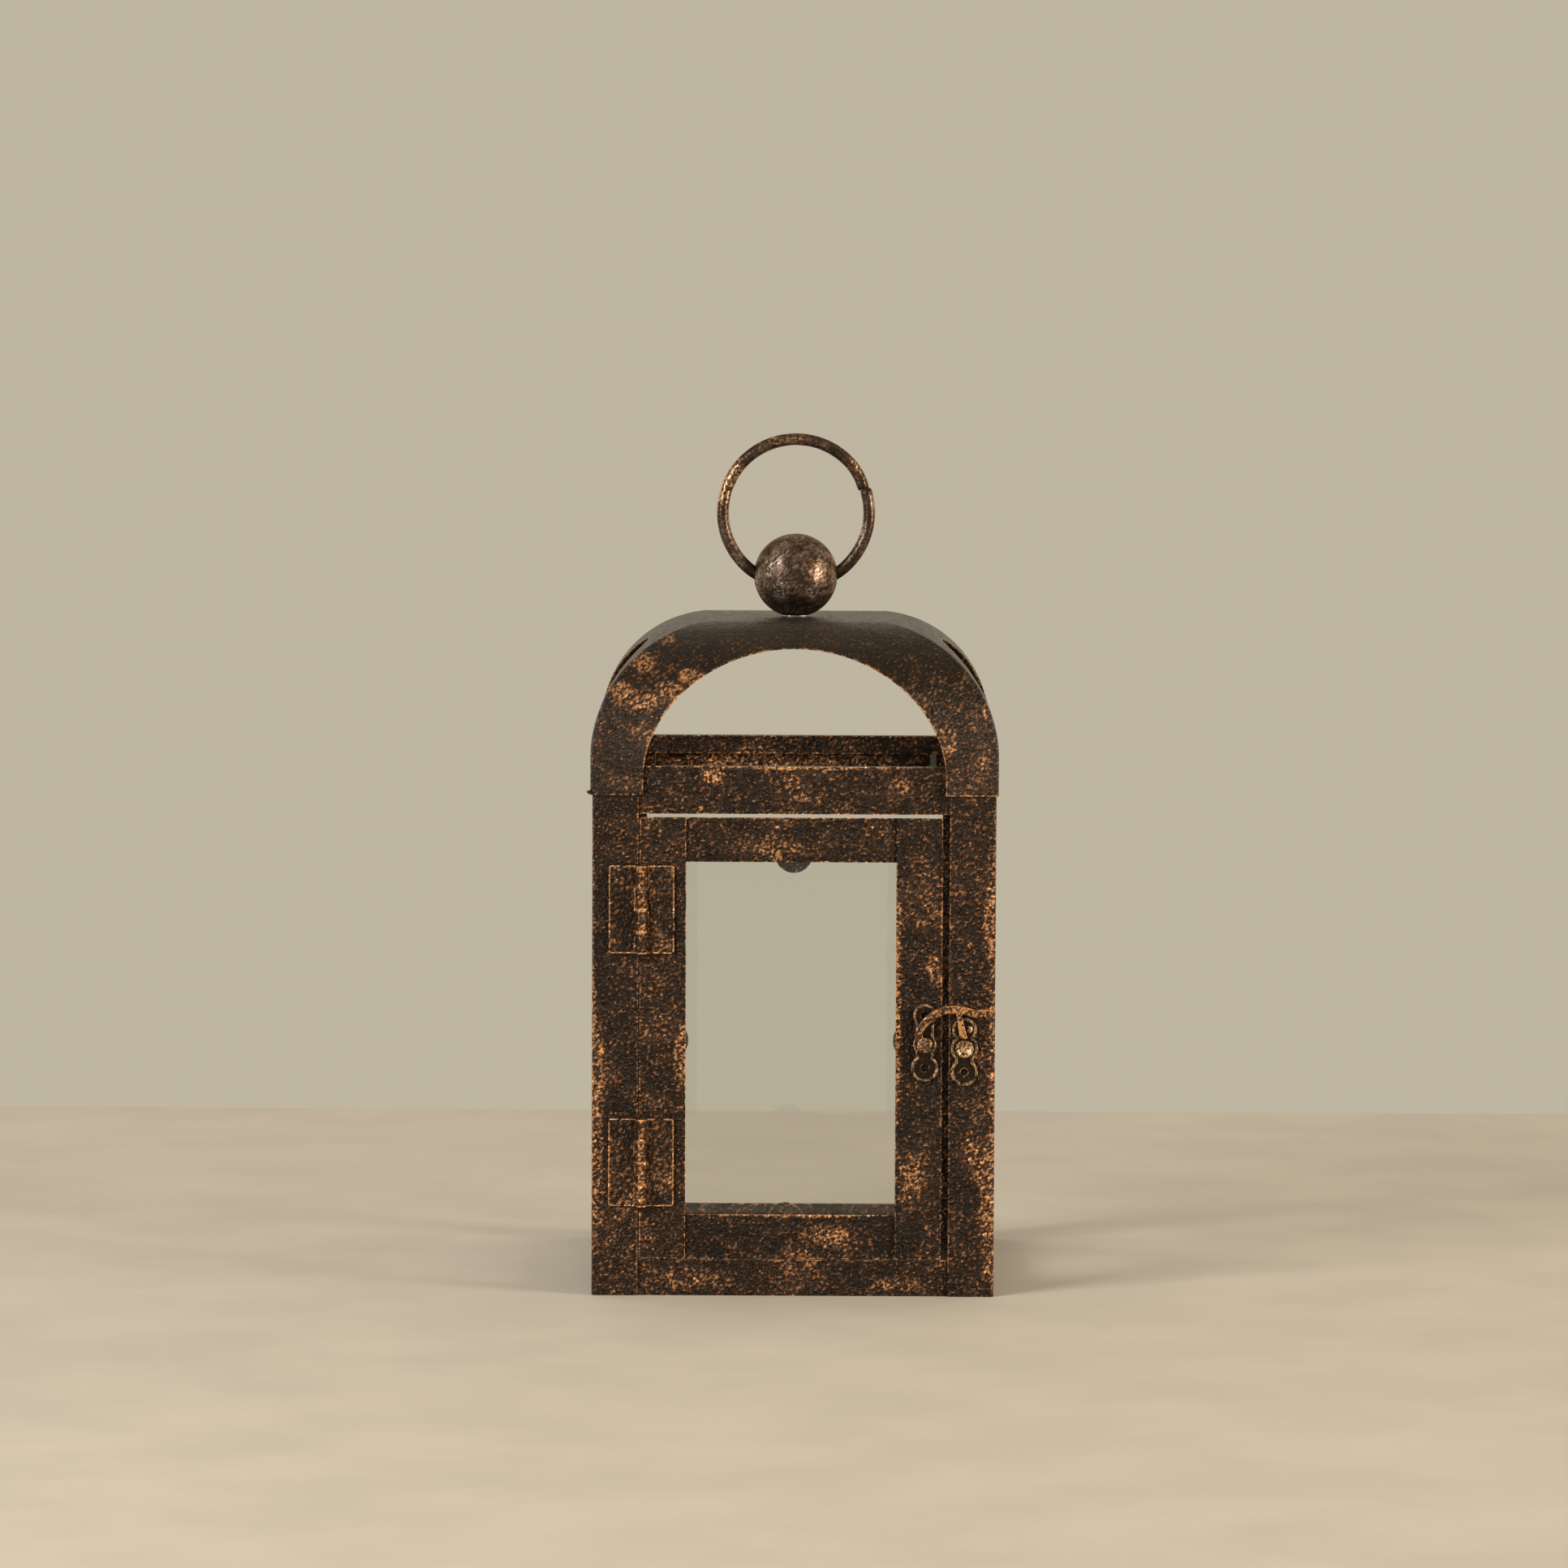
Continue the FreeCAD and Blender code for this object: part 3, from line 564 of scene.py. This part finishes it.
        colour = w.mix(copper, self.paint(w, height, glaze, corner_shade_and_shelter), metal)
        if self.dust_and_sheen:
            colour = self.dusted_and_sheened(w, colour)
        relief = w.add("ShaderNodeBump")
        w.feed(relief.inputs["Height"], bumps)
        w.feed(relief.inputs["Distance"], self.relief * MM)
        w.feed(relief.inputs["Strength"], 1.0)
        shine = (*GLOSS_RANGE, self.shine - self.shine_less, self.shine + self.shine_more)
        gloss = w.sum("ADD", w.patchy(self.shine_size, shine), w.sum("MULTIPLY", copper, self.copper_dulls))
        metallic = w.sum("MAXIMUM", w.sum("MULTIPLY", copper, self.metal_share), self.metal_floor)
        return w.shade(Base_Color=colour, Metallic=metallic, Roughness=gloss, Specular_IOR_Level=self.lustre,
                       Specular_Tint=Tone.WARM_GLINT.value, Normal=relief.outputs[0])


@dataclass(frozen=True)
class ClearPane:
    """Plain window glass with a faint tint."""

    name: str
    tint: Tone = Tone.PANE
    ior: float = 1.46
    film_size: float = 30.0

    def material(self) -> bpy.types.Material:
        """Make the glass.

        Returns:
            The material.
        """
        w = Wiring(self.name)
        film = w.patchy(self.film_size, FILM_RANGE)
        return w.shade(Base_Color=self.tint.value, Roughness=film, IOR=self.ior, Transmission_Weight=1.0)


@dataclass(frozen=True)
class TurnedSteel:
    """Plain zinc-grey steel with fine turning marks."""

    name: str
    tint: Tone = Tone.STEEL
    mark_size: float = 0.4
    mark_depth: float = 0.02
    stain_size: float = 2.0
    metal: float = 0.9

    def material(self) -> bpy.types.Material:
        """Make the steel.

        Returns:
            The material.
        """
        w = Wiring(self.name)
        marks = w.mottle(self.mark_size, 3.0).outputs["Fac"]
        relief = w.add("ShaderNodeBump")
        w.feed(relief.inputs["Height"], marks)
        w.feed(relief.inputs["Distance"], self.mark_depth * MM)
        stain = w.mix(w.patchy(self.stain_size, STAIN_RANGE), self.tint.value, Tone.BRONZE.value)
        return w.shade(Base_Color=stain, Metallic=self.metal, Roughness=w.spread(marks, *MARK_RANGE),
                       Normal=relief.outputs[0])


def soften(node: str, width: float, segments: int = 2, angle: float = 35.0,
           clamp: bool = True) -> bpy.types.Object:
    """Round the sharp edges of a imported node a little, as pressed sheet has them.

    Args:
        node: Name of the node.
        width: Width of the rounding in millimetres.
        segments: Steps across the rounding.
        angle: Least angle in degrees of an edge that is rounded.
        clamp: Whether the rounding narrows where edges are close together.

    Returns:
        The node's object.
    """
    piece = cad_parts[node]
    mesh = piece.data
    if "custom_normal" in mesh.attributes:
        mesh.attributes.remove(mesh.attributes["custom_normal"])
    mesh.polygons.foreach_set("use_smooth", [True] * len(mesh.polygons))
    weld = piece.modifiers.new("weld", "WELD")
    weld.merge_threshold = WELD_DISTANCE * MM
    rounding = piece.modifiers.new("soft_edges", "BEVEL")
    rounding.width = width * MM
    rounding.segments = segments
    rounding.limit_method = "ANGLE"
    rounding.angle_limit = math.radians(angle)
    rounding.harden_normals = True
    rounding.use_clamp_overlap = clamp
    return piece


def dress(node: str, material: bpy.types.Material) -> None:
    """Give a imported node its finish.

    Args:
        node: Name of the node.
        material: The finish.
    """
    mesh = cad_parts[node].data
    mesh.materials.clear()
    mesh.materials.append(material)
    LOG.info("%s: %s", node, material.name)


def swept(name: str, line: list[Vector], radii: list[float], side: Vector,
          around: int = 16) -> bpy.types.Object:
    """A closed round bar along a line.

    Args:
        name: Name of the piece.
        line: Points of its middle line in millimetres.
        radii: Radius at each point in millimetres.
        side: A direction that is across the line everywhere.
        around: Number of faces around the bar.

    Returns:
        The piece's object.
    """
    form = bmesh.new()
    angles = [math.tau * turn / around for turn in range(around)]
    rings = []
    for index, (point, radius) in enumerate(zip(line, radii)):
        ahead = line[min(index + 1, len(line) - 1)] - line[max(index - 1, 0)]
        across = ahead.cross(side).normalized()
        outward = [math.cos(angle) * across + math.sin(angle) * side for angle in angles]
        rings.append([form.verts.new((point + radius * way) * MM) for way in outward])
    for first, second in zip(rings, rings[1:]):
        for turn in range(around):
            after = (turn + 1) % around
            form.faces.new((first[turn], first[after], second[after], second[turn]))
    form.faces.new(reversed(rings[0]))
    form.faces.new(rings[-1])
    bmesh.ops.recalc_face_normals(form, faces=form.faces)
    mesh = bpy.data.meshes.new(name)
    form.to_mesh(mesh)
    form.free()
    mesh.polygons.foreach_set("use_smooth", [len(face.vertices) == 4 for face in mesh.polygons])
    piece = bpy.data.objects.new(name, mesh)
    bpy.context.scene.collection.objects.link(piece)
    return piece


def button(name: str, centre: Place, radius: float, height: float) -> bpy.types.Object:
    """A low round-headed tack that faces the front.

    Args:
        name: Name of the piece.
        centre: Middle of its seat in millimetres.
        radius: Radius in millimetres.
        height: Height of its crown in millimetres.

    Returns:
        The piece's object.
    """
    line = [Vector(centre) - Vector((0.0, rise * height, 0.0)) for rise, _ in BUTTON_OUTLINE]
    radii = [radius * share for _, share in BUTTON_OUTLINE]
    return swept(name, line, radii, Vector((1.0, 0.0, 0.0)), BUTTON_AROUND)


@dataclass
class Casing:
    """Posts, rails and floor plate."""

    edge_round: float = 0.18
    rubs: tuple[Rub, ...] = (
        # Outer edge of the front left post, low down, and beside the lower hinge
        Rub((-73.0, -74.0, 70.0), (5.0, 6.0, 62.0), 0.50),
        Rub((-70.0, -74.0, 15.0), (8.0, 6.0, 16.0), 0.10),
        # Outer edge of the front right post, high and low
        Rub((73.0, -74.0, 140.0), (4.5, 6.0, 26.0), 0.40),
        Rub((73.0, -74.0, 35.0), (6.5, 6.0, 34.0), 0.65),
        Rub((66.0, -74.0, 52.0), (7.0, 6.0, 13.0), 0.35),
        # A narrow worn band down both outer corners
        Rub((-74.5, -75.0, 100.0), (2.6, 4.0, 140.0), 0.45),
        Rub((74.5, -75.0, 100.0), (3.2, 4.0, 140.0), 0.60),
        # Front head rail: worn top edge with a blob under it
        Rub((8.0, -73.5, 196.0), (50.0, 4.0, 1.6), 0.90),
        Rub((-30.0, -73.5, 192.5), (6.0, 3.0, 3.6), 0.95),
        Rub((40.0, -73.5, 186.0), (14.0, 3.0, 8.0), 0.25),
        # Front base rail
        Rub((40.0, -73.5, 4.0), (16.0, 3.0, 5.0), 0.35),
        Rub((-36.0, -73.5, 6.0), (18.0, 3.0, 6.0), 0.35),
        # Painted shade behind the hole of the stud's plate
        Rub((62.9, -74.2, 83.6), (2.4, 3.0, 2.4), -2.0),
        # The other corners
        Rub((73.0, 74.0, 60.0), (6.0, 6.0, 50.0), 0.45),
        Rub((-73.0, 74.0, 120.0), (6.0, 6.0, 45.0), 0.45),
        Rub((74.0, 20.0, 6.0), (3.0, 22.0, 6.0), 0.30),
        Rub((-20.0, 74.0, 190.0), (20.0, 3.0, 6.0), 0.40),
        # Rear head rail's inner face lightened with copper: painted light where it lies in shade
        Rub((0.0, 72.0, 186.0), (90.0, 4.0, 12.0), 0.30),
    )

    def build(self) -> None:
        """Round the edges of the frame's sheet and dress it."""
        paint = RubbedPaint("hammered_bronze_frame", rubs=self.rubs).material()
        nodes = ["post_" + corner for corner in ("front_left", "front_right", "rear_right", "rear_left")]
        for kind in ("base_rail_", "head_rail_"):
            nodes += [kind + side for side in ("front", "right", "rear", "left")]
        for node in [*nodes, "base_plate", "pane_clips"]:
            soften(node, self.edge_round)
            dress(node, paint)


@dataclass
class Roof:
    """Domed cap with its four arches."""

    edge_round: float = 0.16
    calm_from: float = 205.0
    calm_to: float = 232.0
    burr_place: Place = (-74.6, -73.8, 186.2)
    burr_step: Place = (-0.45, 0.0, 0.12)
    burr_radii: tuple[float, ...] = (0.75, 0.8, 0.7, 0.5, 0.2)
    rubs: tuple[Rub, ...] = (
        # Left shoulder of the front face: a cluster along the hip and one at the arch
        Rub((-47.5, -47.0, 241.0), (5.5, 13.0, 5.0), 0.60),
        Rub((-56.5, -57.0, 233.0), (7.5, 13.0, 6.5), 0.78),
        Rub((-63.5, -66.0, 222.5), (6.0, 11.0, 7.5), 0.75),
        Rub((-38.0, -64.0, 228.5), (7.5, 10.0, 5.0), 0.75),
        Rub((-45.0, -67.0, 222.5), (7.5, 9.0, 5.5), 0.70),
        Rub((-55.0, -69.0, 219.0), (9.0, 8.0, 5.0), 0.60),
        Rub((-55.0, -73.0, 206.0), (8.0, 6.0, 9.0), 0.35),
        Rub((-62.0, -75.0, 190.0), (9.0, 4.0, 4.0), 0.30),
        Rub((-52.0, -62.0, 229.0), (18.0, 18.0, 15.0), 0.30),
        # Right shoulder and leg
        Rub((62.0, -62.0, 225.0), (6.0, 12.0, 10.0), 0.38),
        Rub((68.0, -70.0, 213.0), (6.0, 10.0, 14.0), 0.30),
        Rub((56.0, -72.0, 205.0), (6.0, 8.0, 12.0), 0.30),
        Rub((50.0, -68.0, 226.0), (15.0, 14.0, 13.0), 0.26),
        Rub((70.0, -74.0, 194.0), (5.0, 6.0, 10.0), 0.18),
        # The other three faces
        Rub((64.0, 62.0, 224.0), (8.0, 12.0, 10.0), 0.70),
        Rub((-64.0, 64.0, 220.0), (8.0, 12.0, 10.0), 0.80),
        Rub((40.0, 66.0, 226.0), (9.0, 8.0, 6.0), 0.60),
        Rub((72.0, 30.0, 214.0), (8.0, 9.0, 8.0), 0.60),
        Rub((-72.0, -28.0, 216.0), (8.0, 9.0, 8.0), 0.60),
    )

    def build_burr(self, paint: bpy.types.Material) -> None:
        """Make the small nub of metal left at the foot of the front left leg.

        Args:
            paint: The cap's finish.
        """
        foot, step = Vector(self.burr_place), Vector(self.burr_step)
        line = [foot + count * step for count in range(len(self.burr_radii))]
        burr = swept("leg_burr", line, list(self.burr_radii), Vector((0.0, 1.0, 0.0)), 12)
        burr.data.materials.append(paint)
        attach(burr, "lantern")

    def build(self) -> None:
        """Round the cap's edges and dress it, calmer at the top."""
        # Its level top gets a dusty tone and a painted sheen
        paint = RubbedPaint("hammered_bronze_roof", rubs=self.rubs, rub=-0.15, edge=1.3, edge_width=1.2,
                            calm_from=self.calm_from, calm_to=self.calm_to, shine=0.29, dust_and_sheen=0.10,
                            lustre=0.32).material()
        soften("roof_shell", self.edge_round)
        dress("roof_shell", paint)
        self.build_burr(paint)


@dataclass
class Finial:
    """Ball with its solder bead, screw and washer, and the split carrying ring."""

    ring_centre: Place = (0.0, 0.0, 285.701)
    ring_radius: float = 27.5
    wire_radius: float = 2.3
    split_at: float = 19.0
    split_gap: float = 0.2
    split_step: float = 0.6
    step_reach: float = 26.0
    wire_trim: float = 0.06
    wire_end_trim: float = 0.35
    wire_waver: float = 0.05
    wire_wave: float = 0.25
    bead_radius: float = 1.0
    bead_circle: float = 4.2
    bead_height: float = 247.0
    bead_steps: int = 48
    bead_least: float = 0.75
    bead_waver: float = 0.3
    bead_wave: float = 1.7
    ring_rubs: tuple[Rub, ...] = (
        Rub((-24.0, 0.0, 297.0), (10.0, 6.0, 14.0), 0.70),
        Rub((-4.0, 0.0, 313.0), (20.0, 6.0, 5.0), 0.35),
        Rub((22.0, 0.0, 304.0), (8.0, 6.0, 9.0), 0.40),
    )
    ball_highlight_rubs: tuple[Rub, ...] = (
        # Copper on the front of the ball: a painted highlight that widens the lamps' reflections
        Rub((8.0, -13.0, 265.0), (8.0, 8.0, 8.0), 0.30),
        Rub((0.0, -12.0, 272.0), (4.0, 9.0, 7.0), 0.25),
    )

    def ring_line(self, steps: int = 144) -> list[Vector]:
        """Middle line of the wire, from one cut end round to the other, which has slipped inward.

        Args:
            steps: Number of runs along the wire.

        Returns:
            Points in millimetres.
        """
        half_gap = math.degrees(self.split_gap / self.ring_radius) / 2
        points = []
        for step in range(steps + 1):
            turn = step / steps * (360.0 - 2 * half_gap)
            near_end = max(0.0, 1.0 - turn / self.step_reach)
            radius = self.ring_radius - self.split_step * near_end ** 2
            angle = math.radians(self.split_at + half_gap + turn)
            points.append(Vector(self.ring_centre) + radius * Vector((math.cos(angle), 0.0, math.sin(angle))))
        return points

    def build_ring(self, paint: bpy.types.Material) -> None:
        """Make the wire ring, closed up to its stepped joint, slightly uneven as bent wire is.

        Args:
            paint: The ring's finish.
        """
        line = self.ring_line()
        plain = self.wire_radius - self.wire_trim
        radii = [plain + self.wire_waver * noise.noise(point * self.wire_wave) for point in line]
        radii[0] = radii[-1] = self.wire_radius - self.wire_end_trim
        ring = swept("carry_wire", line, radii, Vector((0.0, 1.0, 0.0)))
        ring.data.materials.append(paint)
        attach(ring, "ring")
        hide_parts("carry_ring")

    def build_bead(self, steel: bpy.types.Material) -> None:
        """Make the uneven bead of solder round the ball's foot.

        Args:
            steel: The bead's finish.
        """
        line, radii = [], []
        for step in range(self.bead_steps + 1):
            angle = math.tau * step / self.bead_steps
            way = Vector((math.cos(angle), math.sin(angle), 0.0))
            line.append(way * self.bead_circle + Vector((0.0, 0.0, self.bead_height)))
            swell = noise.noise((way + Vector((0.0, 0.0, 1.0))) * self.bead_wave)
            radii.append(self.bead_radius * (self.bead_least + self.bead_waver * swell))
        radii[-1] = radii[0]
        bead = swept("solder_bead", line, radii, Vector((0.0, 0.0, 1.0)))
        bead.data.materials.append(steel)
        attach(bead, "lantern")

    def build(self) -> None:
        """Dress the ball, and make the ring and what holds the ball down."""
        ball = RubbedPaint("smooth_bronze_ball", pebble=1.5, relief=0.15, dark=Tone.SOOT,
                           brown=Tone.PALE_BRONZE, rub=-0.12, cloud=0.4, crisp=0.6, edge=0.3, shine=0.35,
                           metal_floor=0.85, bright=Tone.GOLD, rubs=self.ball_highlight_rubs).material()
        wire = RubbedPaint("smooth_bronze_ring", pebble=1.1, relief=0.10, dark=Tone.SOOT,
                           brown=Tone.BRONZE, rub=-0.10, cloud=0.5, crisp=0.9, edge=0.3, shine=0.28,
                           metal_floor=0.75, bright=Tone.GOLD, rubs=self.ring_rubs).material()
        steel = TurnedSteel("screw_steel_finial").material()
        dress("finial_ball", ball)
        self.build_ring(wire)
        self.build_bead(steel)
        for node in ("finial_screw", "finial_washer"):
            soften(node, 0.15)
            dress(node, steel)


@dataclass
class Door:
    """Stiles, rails, pane and tabs of the door."""

    edge_round: float = 0.18
    rubs: tuple[Rub, ...] = (
        # Left stile: inner edge at half height and a worn spot above the lower hinge
        Rub((-41.0, -74.0, 88.0), (4.0, 4.0, 16.0), 0.75),
        Rub((-49.0, -74.0, 110.0), (8.0, 4.0, 18.0), 0.08),
        # Right stile: inner edge and a streak in the middle
        Rub((38.5, -74.0, 105.0), (1.8, 4.0, 60.0), 0.60),
        Rub((46.0, -74.0, 150.0), (9.0, 4.0, 26.0), 0.16),
        Rub((51.5, -74.0, 122.0), (3.5, 4.0, 9.0), 0.50),
        Rub((44.0, -74.0, 44.0), (7.0, 4.0, 14.0), 0.40),
        # Painted shade behind the holes of the latch's plate
        Rub((48.3, -74.2, 85.0), (2.4, 3.0, 2.4), -2.0),
        Rub((48.3, -74.2, 104.5), (2.4, 3.0, 2.4), -2.0),
        # Rails: worn along the window
        Rub((-1.0, -73.5, 30.2), (40.0, 3.0, 1.3), 0.90),
        Rub((14.0, -73.5, 22.0), (12.0, 3.0, 6.0), 0.40),
        Rub((-8.0, -73.5, 166.0), (22.0, 3.0, 6.0), 0.35),
    )

    def build(self) -> None:
        """Round the door's edges and dress it."""
        paint = RubbedPaint("hammered_bronze_door", rubs=self.rubs).material()
        for node in ("door_stile_left", "door_stile_right", "door_rail_top", "door_rail_bottom",
                     "door_pane_tabs"):
            soften(node, self.edge_round)
            dress(node, paint)


@dataclass
class Hinges:
    """Two butt hinges."""

    edge_round: float = 0.22
    rubs: tuple[Rub, ...] = (
        # A copper stripe down the middle of each barrel: a painted highlight, the barrel's sides left dark
        Rub((-56.0, -79.5, 143.0), (1.5, 3.6, 22.0), 1.00),
        Rub((-56.0, -79.5, 49.5), (1.5, 3.6, 22.0), 1.10),
        Rub((-71.0, -77.0, 150.0), (3.0, 3.0, 22.0), 0.30),
    )

    def build(self) -> None:
        """Round the leaves' edges and dress the hinges, more rubbed than the sheet."""
        paint = RubbedPaint("hammered_bronze_hinges", pebble=1.3, relief=0.45, rub=0.0, crisp=1.7, edge=1.55,
                            edge_width=1.2, rubs=self.rubs).material()
        for level in ("lower", "upper"):
            for part in ("post_leaf", "door_leaf", "pin"):
                node = "hinge_%s_%s" % (level, part)
                soften(node, self.edge_round)
                dress(node, paint)


@dataclass
class Latch:
    """Cast latch plates, rivet, stud and hook."""

    edge_round: float = 0.22
    hook_round: float = 0.6
    tack_place: Place = (64.6, -74.9, 99.5)
    tack_radius: float = 1.5
    tack_height: float = 0.85

    def build(self) -> None:
        """Round the castings and dress them, with worn rims and a bright rivet and stud."""
        cast = RubbedPaint("cast_bronze_plates", pebble=1.0, relief=0.12, rub=-0.42, edge=1.1,
                           edge_width=0.75, shine=0.24, lustre=0.25, metal_floor=0.1, bright=Tone.GOLD,
                           raised=(75.1, 75.45, 0.75), most=0.6).material()
        # The hook gets a painted highlight on what faces up
        hook = RubbedPaint("cast_bronze_hook", pebble=1.2, relief=0.10, rub=0.40, edge=0.6,
                           edge_width=0.5, shine=0.26, lustre=0.4, metal_floor=0.5, dark=Tone.SOOT,
                           brown=Tone.DEEP_COPPER, bright=Tone.BRIGHT_COPPER, painted_top_highlight=0.7, most=0.8,
                           rubs=(Rub((61.5, -77.0, 99.0), (4.0, 3.0, 6.0), 0.6),)).material()
        bright = RubbedPaint("rubbed_copper_studs", pebble=0.9, relief=0.10, rub=0.55, edge=0.5,
                             edge_width=0.5, dark=Tone.SOOT, brown=Tone.BRONZE, bright=Tone.GOLD, most=0.8,
                             shine=0.26, metal_floor=0.7).material()
        for node, paint in (("latch_door_plate", cast), ("latch_post_plate", cast), ("latch_hook", hook),
                            ("latch_pivot_rivet", bright), ("latch_stud", bright)):
            wide = node == "latch_hook"
            soften(node, self.hook_round if wide else self.edge_round, 3, clamp=not wide)
            dress(node, paint)
        tack = button("latch_tack", self.tack_place, self.tack_radius, self.tack_height)
        tack.data.materials.append(bright)
        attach(tack, "lantern")


@dataclass
class Glazing:
    """Three fixed panes and the door's pane."""

    def build(self) -> None:
        """Dress the panes."""
        glass = ClearPane("clear_glass_panes").material()
        for node in ("pane_right", "pane_rear", "pane_left", "door_pane"):
            dress(node, glass)
            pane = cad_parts[node]
            pane.visible_shadow = False
            pane.visible_diffuse = False


@dataclass
class Softbox:
    """One rectangular lamp that looks at the lantern."""

    name: str
    place: Place
    width: float
    height: float
    watts: float
    tint: Tone = Tone.DAYLIGHT
    target: Place = (0.0, 0.0, 0.16)

    def build(self) -> bpy.types.Object:
        """Make the lamp.

        Returns:
            The lamp's object.
        """
        lamp = bpy.data.lights.new(self.name, "AREA")
        lamp.shape = "RECTANGLE"
        lamp.size = self.width
        lamp.size_y = self.height
        lamp.energy = self.watts
        lamp.color = self.tint.value
        piece = bpy.data.objects.new(self.name, lamp)
        bpy.context.scene.collection.objects.link(piece)
        piece.visible_camera = False
        piece.location = self.place
        aim = Vector(self.target) - Vector(self.place)
        piece.rotation_euler = aim.to_track_quat("-Z", "Y").to_euler()
        return piece


@dataclass
class Studio:
    """Pale floor, pale surroundings, four softboxes and the camera."""

    floor_half: float = 1.6
    floor_back: float = 0.45
    floor_grain: float = 60.0
    floor_roughness: float = 0.7
    ambient: float = 0.37
    lens: float = 169.3
    sensor: float = 36.0
    farthest: float = 50.0
    camera_place: Place = (0.0037, -2.769, 0.4243)
    pitch: float = 4.975
    yaw: float = -0.161
    roll: float = 0.243
    lamps: tuple[Softbox, ...] = (
        Softbox("softbox_left", (-1.60, -1.40, 0.95), 0.9, 1.1, 48.0, Tone.COOL),
        Softbox("softbox_right", (1.95, -0.90, 0.50), 0.7, 1.1, 45.0, Tone.WARM),
        Softbox("softbox_rear_left", (-1.80, 1.35, 0.55), 0.6, 0.9, 11.0, Tone.COOL),
        Softbox("softbox_rear_right", (1.80, 1.35, 0.55), 0.6, 0.9, 11.0, Tone.WARM),
    )

    def build_floor(self) -> bpy.types.Object:
        """Make the table top that the lantern stands on.

        Returns:
            The floor's object.
        """
        half, back = self.floor_half, self.floor_back
        mesh = bpy.data.meshes.new("floor")
        corners = [(-half, -half, 0.0), (half, -half, 0.0), (half, back, 0.0), (-half, back, 0.0)]
        mesh.from_pydata(corners, [], [(0, 1, 2, 3)])
        floor = bpy.data.objects.new("floor", mesh)
        bpy.context.scene.collection.objects.link(floor)
        w = Wiring("pale_floor")
        grey = w.patchy(self.floor_grain, FLOOR_RANGE, 4.0)
        tone = w.add("ShaderNodeVectorMath", operation="SCALE")
        w.feed(tone.inputs[0], Tone.TABLE.value)
        w.feed(tone.inputs["Scale"], grey)
        mesh.materials.append(w.shade(Base_Color=tone.outputs[0], Roughness=self.floor_roughness))
        return floor

    def build_surroundings(self) -> None:
        """Light the scene softly from all sides and show the wall's tone behind it."""
        world = bpy.data.worlds.new("surroundings")
        bpy.context.scene.world = world
        world.use_nodes = True
        tree = world.node_tree
        tree.nodes.clear()
        path = tree.nodes.new("ShaderNodeLightPath")
        seen = path.outputs["Is Camera Ray"]
        for name in ("Is Glossy Ray", "Is Transmission Ray"):
            either = tree.nodes.new("ShaderNodeMath")
            either.operation = "MAXIMUM"
            tree.links.new(seen, either.inputs[0])
            tree.links.new(path.outputs[name], either.inputs[1])
            seen = either.outputs[0]
        light = tree.nodes.new("ShaderNodeBackground")
        light.inputs["Color"].default_value = (*Tone.DAYLIGHT.value, 1.0)
        light.inputs["Strength"].default_value = self.ambient
        wall = tree.nodes.new("ShaderNodeBackground")
        wall.inputs["Color"].default_value = (*Tone.WALL.value, 1.0)
        either = tree.nodes.new("ShaderNodeMixShader")
        tree.links.new(seen, either.inputs[0])
        tree.links.new(light.outputs[0], either.inputs[1])
        tree.links.new(wall.outputs[0], either.inputs[2])
        output = tree.nodes.new("ShaderNodeOutputWorld")
        tree.links.new(either.outputs[0], output.inputs["Surface"])

    def build_camera(self) -> None:
        """Set the camera at the photograph's viewing angle."""
        lens = bpy.data.cameras.new("camera")
        lens.lens = self.lens
        lens.sensor_width = self.sensor
        lens.clip_end = self.farthest
        camera = bpy.data.objects.new("camera", lens)
        bpy.context.scene.collection.objects.link(camera)
        camera.location = self.camera_place
        turn = Euler((math.radians(90.0 - self.pitch), 0.0, math.radians(-self.yaw)))
        tilt = Quaternion((0.0, 0.0, 1.0), math.radians(self.roll))
        camera.rotation_mode = "QUATERNION"
        camera.rotation_quaternion = turn.to_quaternion() @ tilt
        bpy.context.scene.camera = camera

    def build(self) -> None:
        """Build the floor, the light and the camera."""
        self.build_floor()
        self.build_surroundings()
        for lamp in self.lamps:
            lamp.build()
        self.build_camera()
        bpy.context.scene.view_settings.view_transform = "Standard"


def main() -> None:
    """Dress the lantern and set up the studio."""
    logging.basicConfig(level=logging.INFO)
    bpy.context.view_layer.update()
    for part in (Casing(), Roof(), Finial(), Door(), Hinges(), Latch(), Glazing(), Studio()):
        part.build()
        LOG.info("built %s", type(part).__name__)
    bpy.context.view_layer.update()


if __name__ == "__main__":
    main()
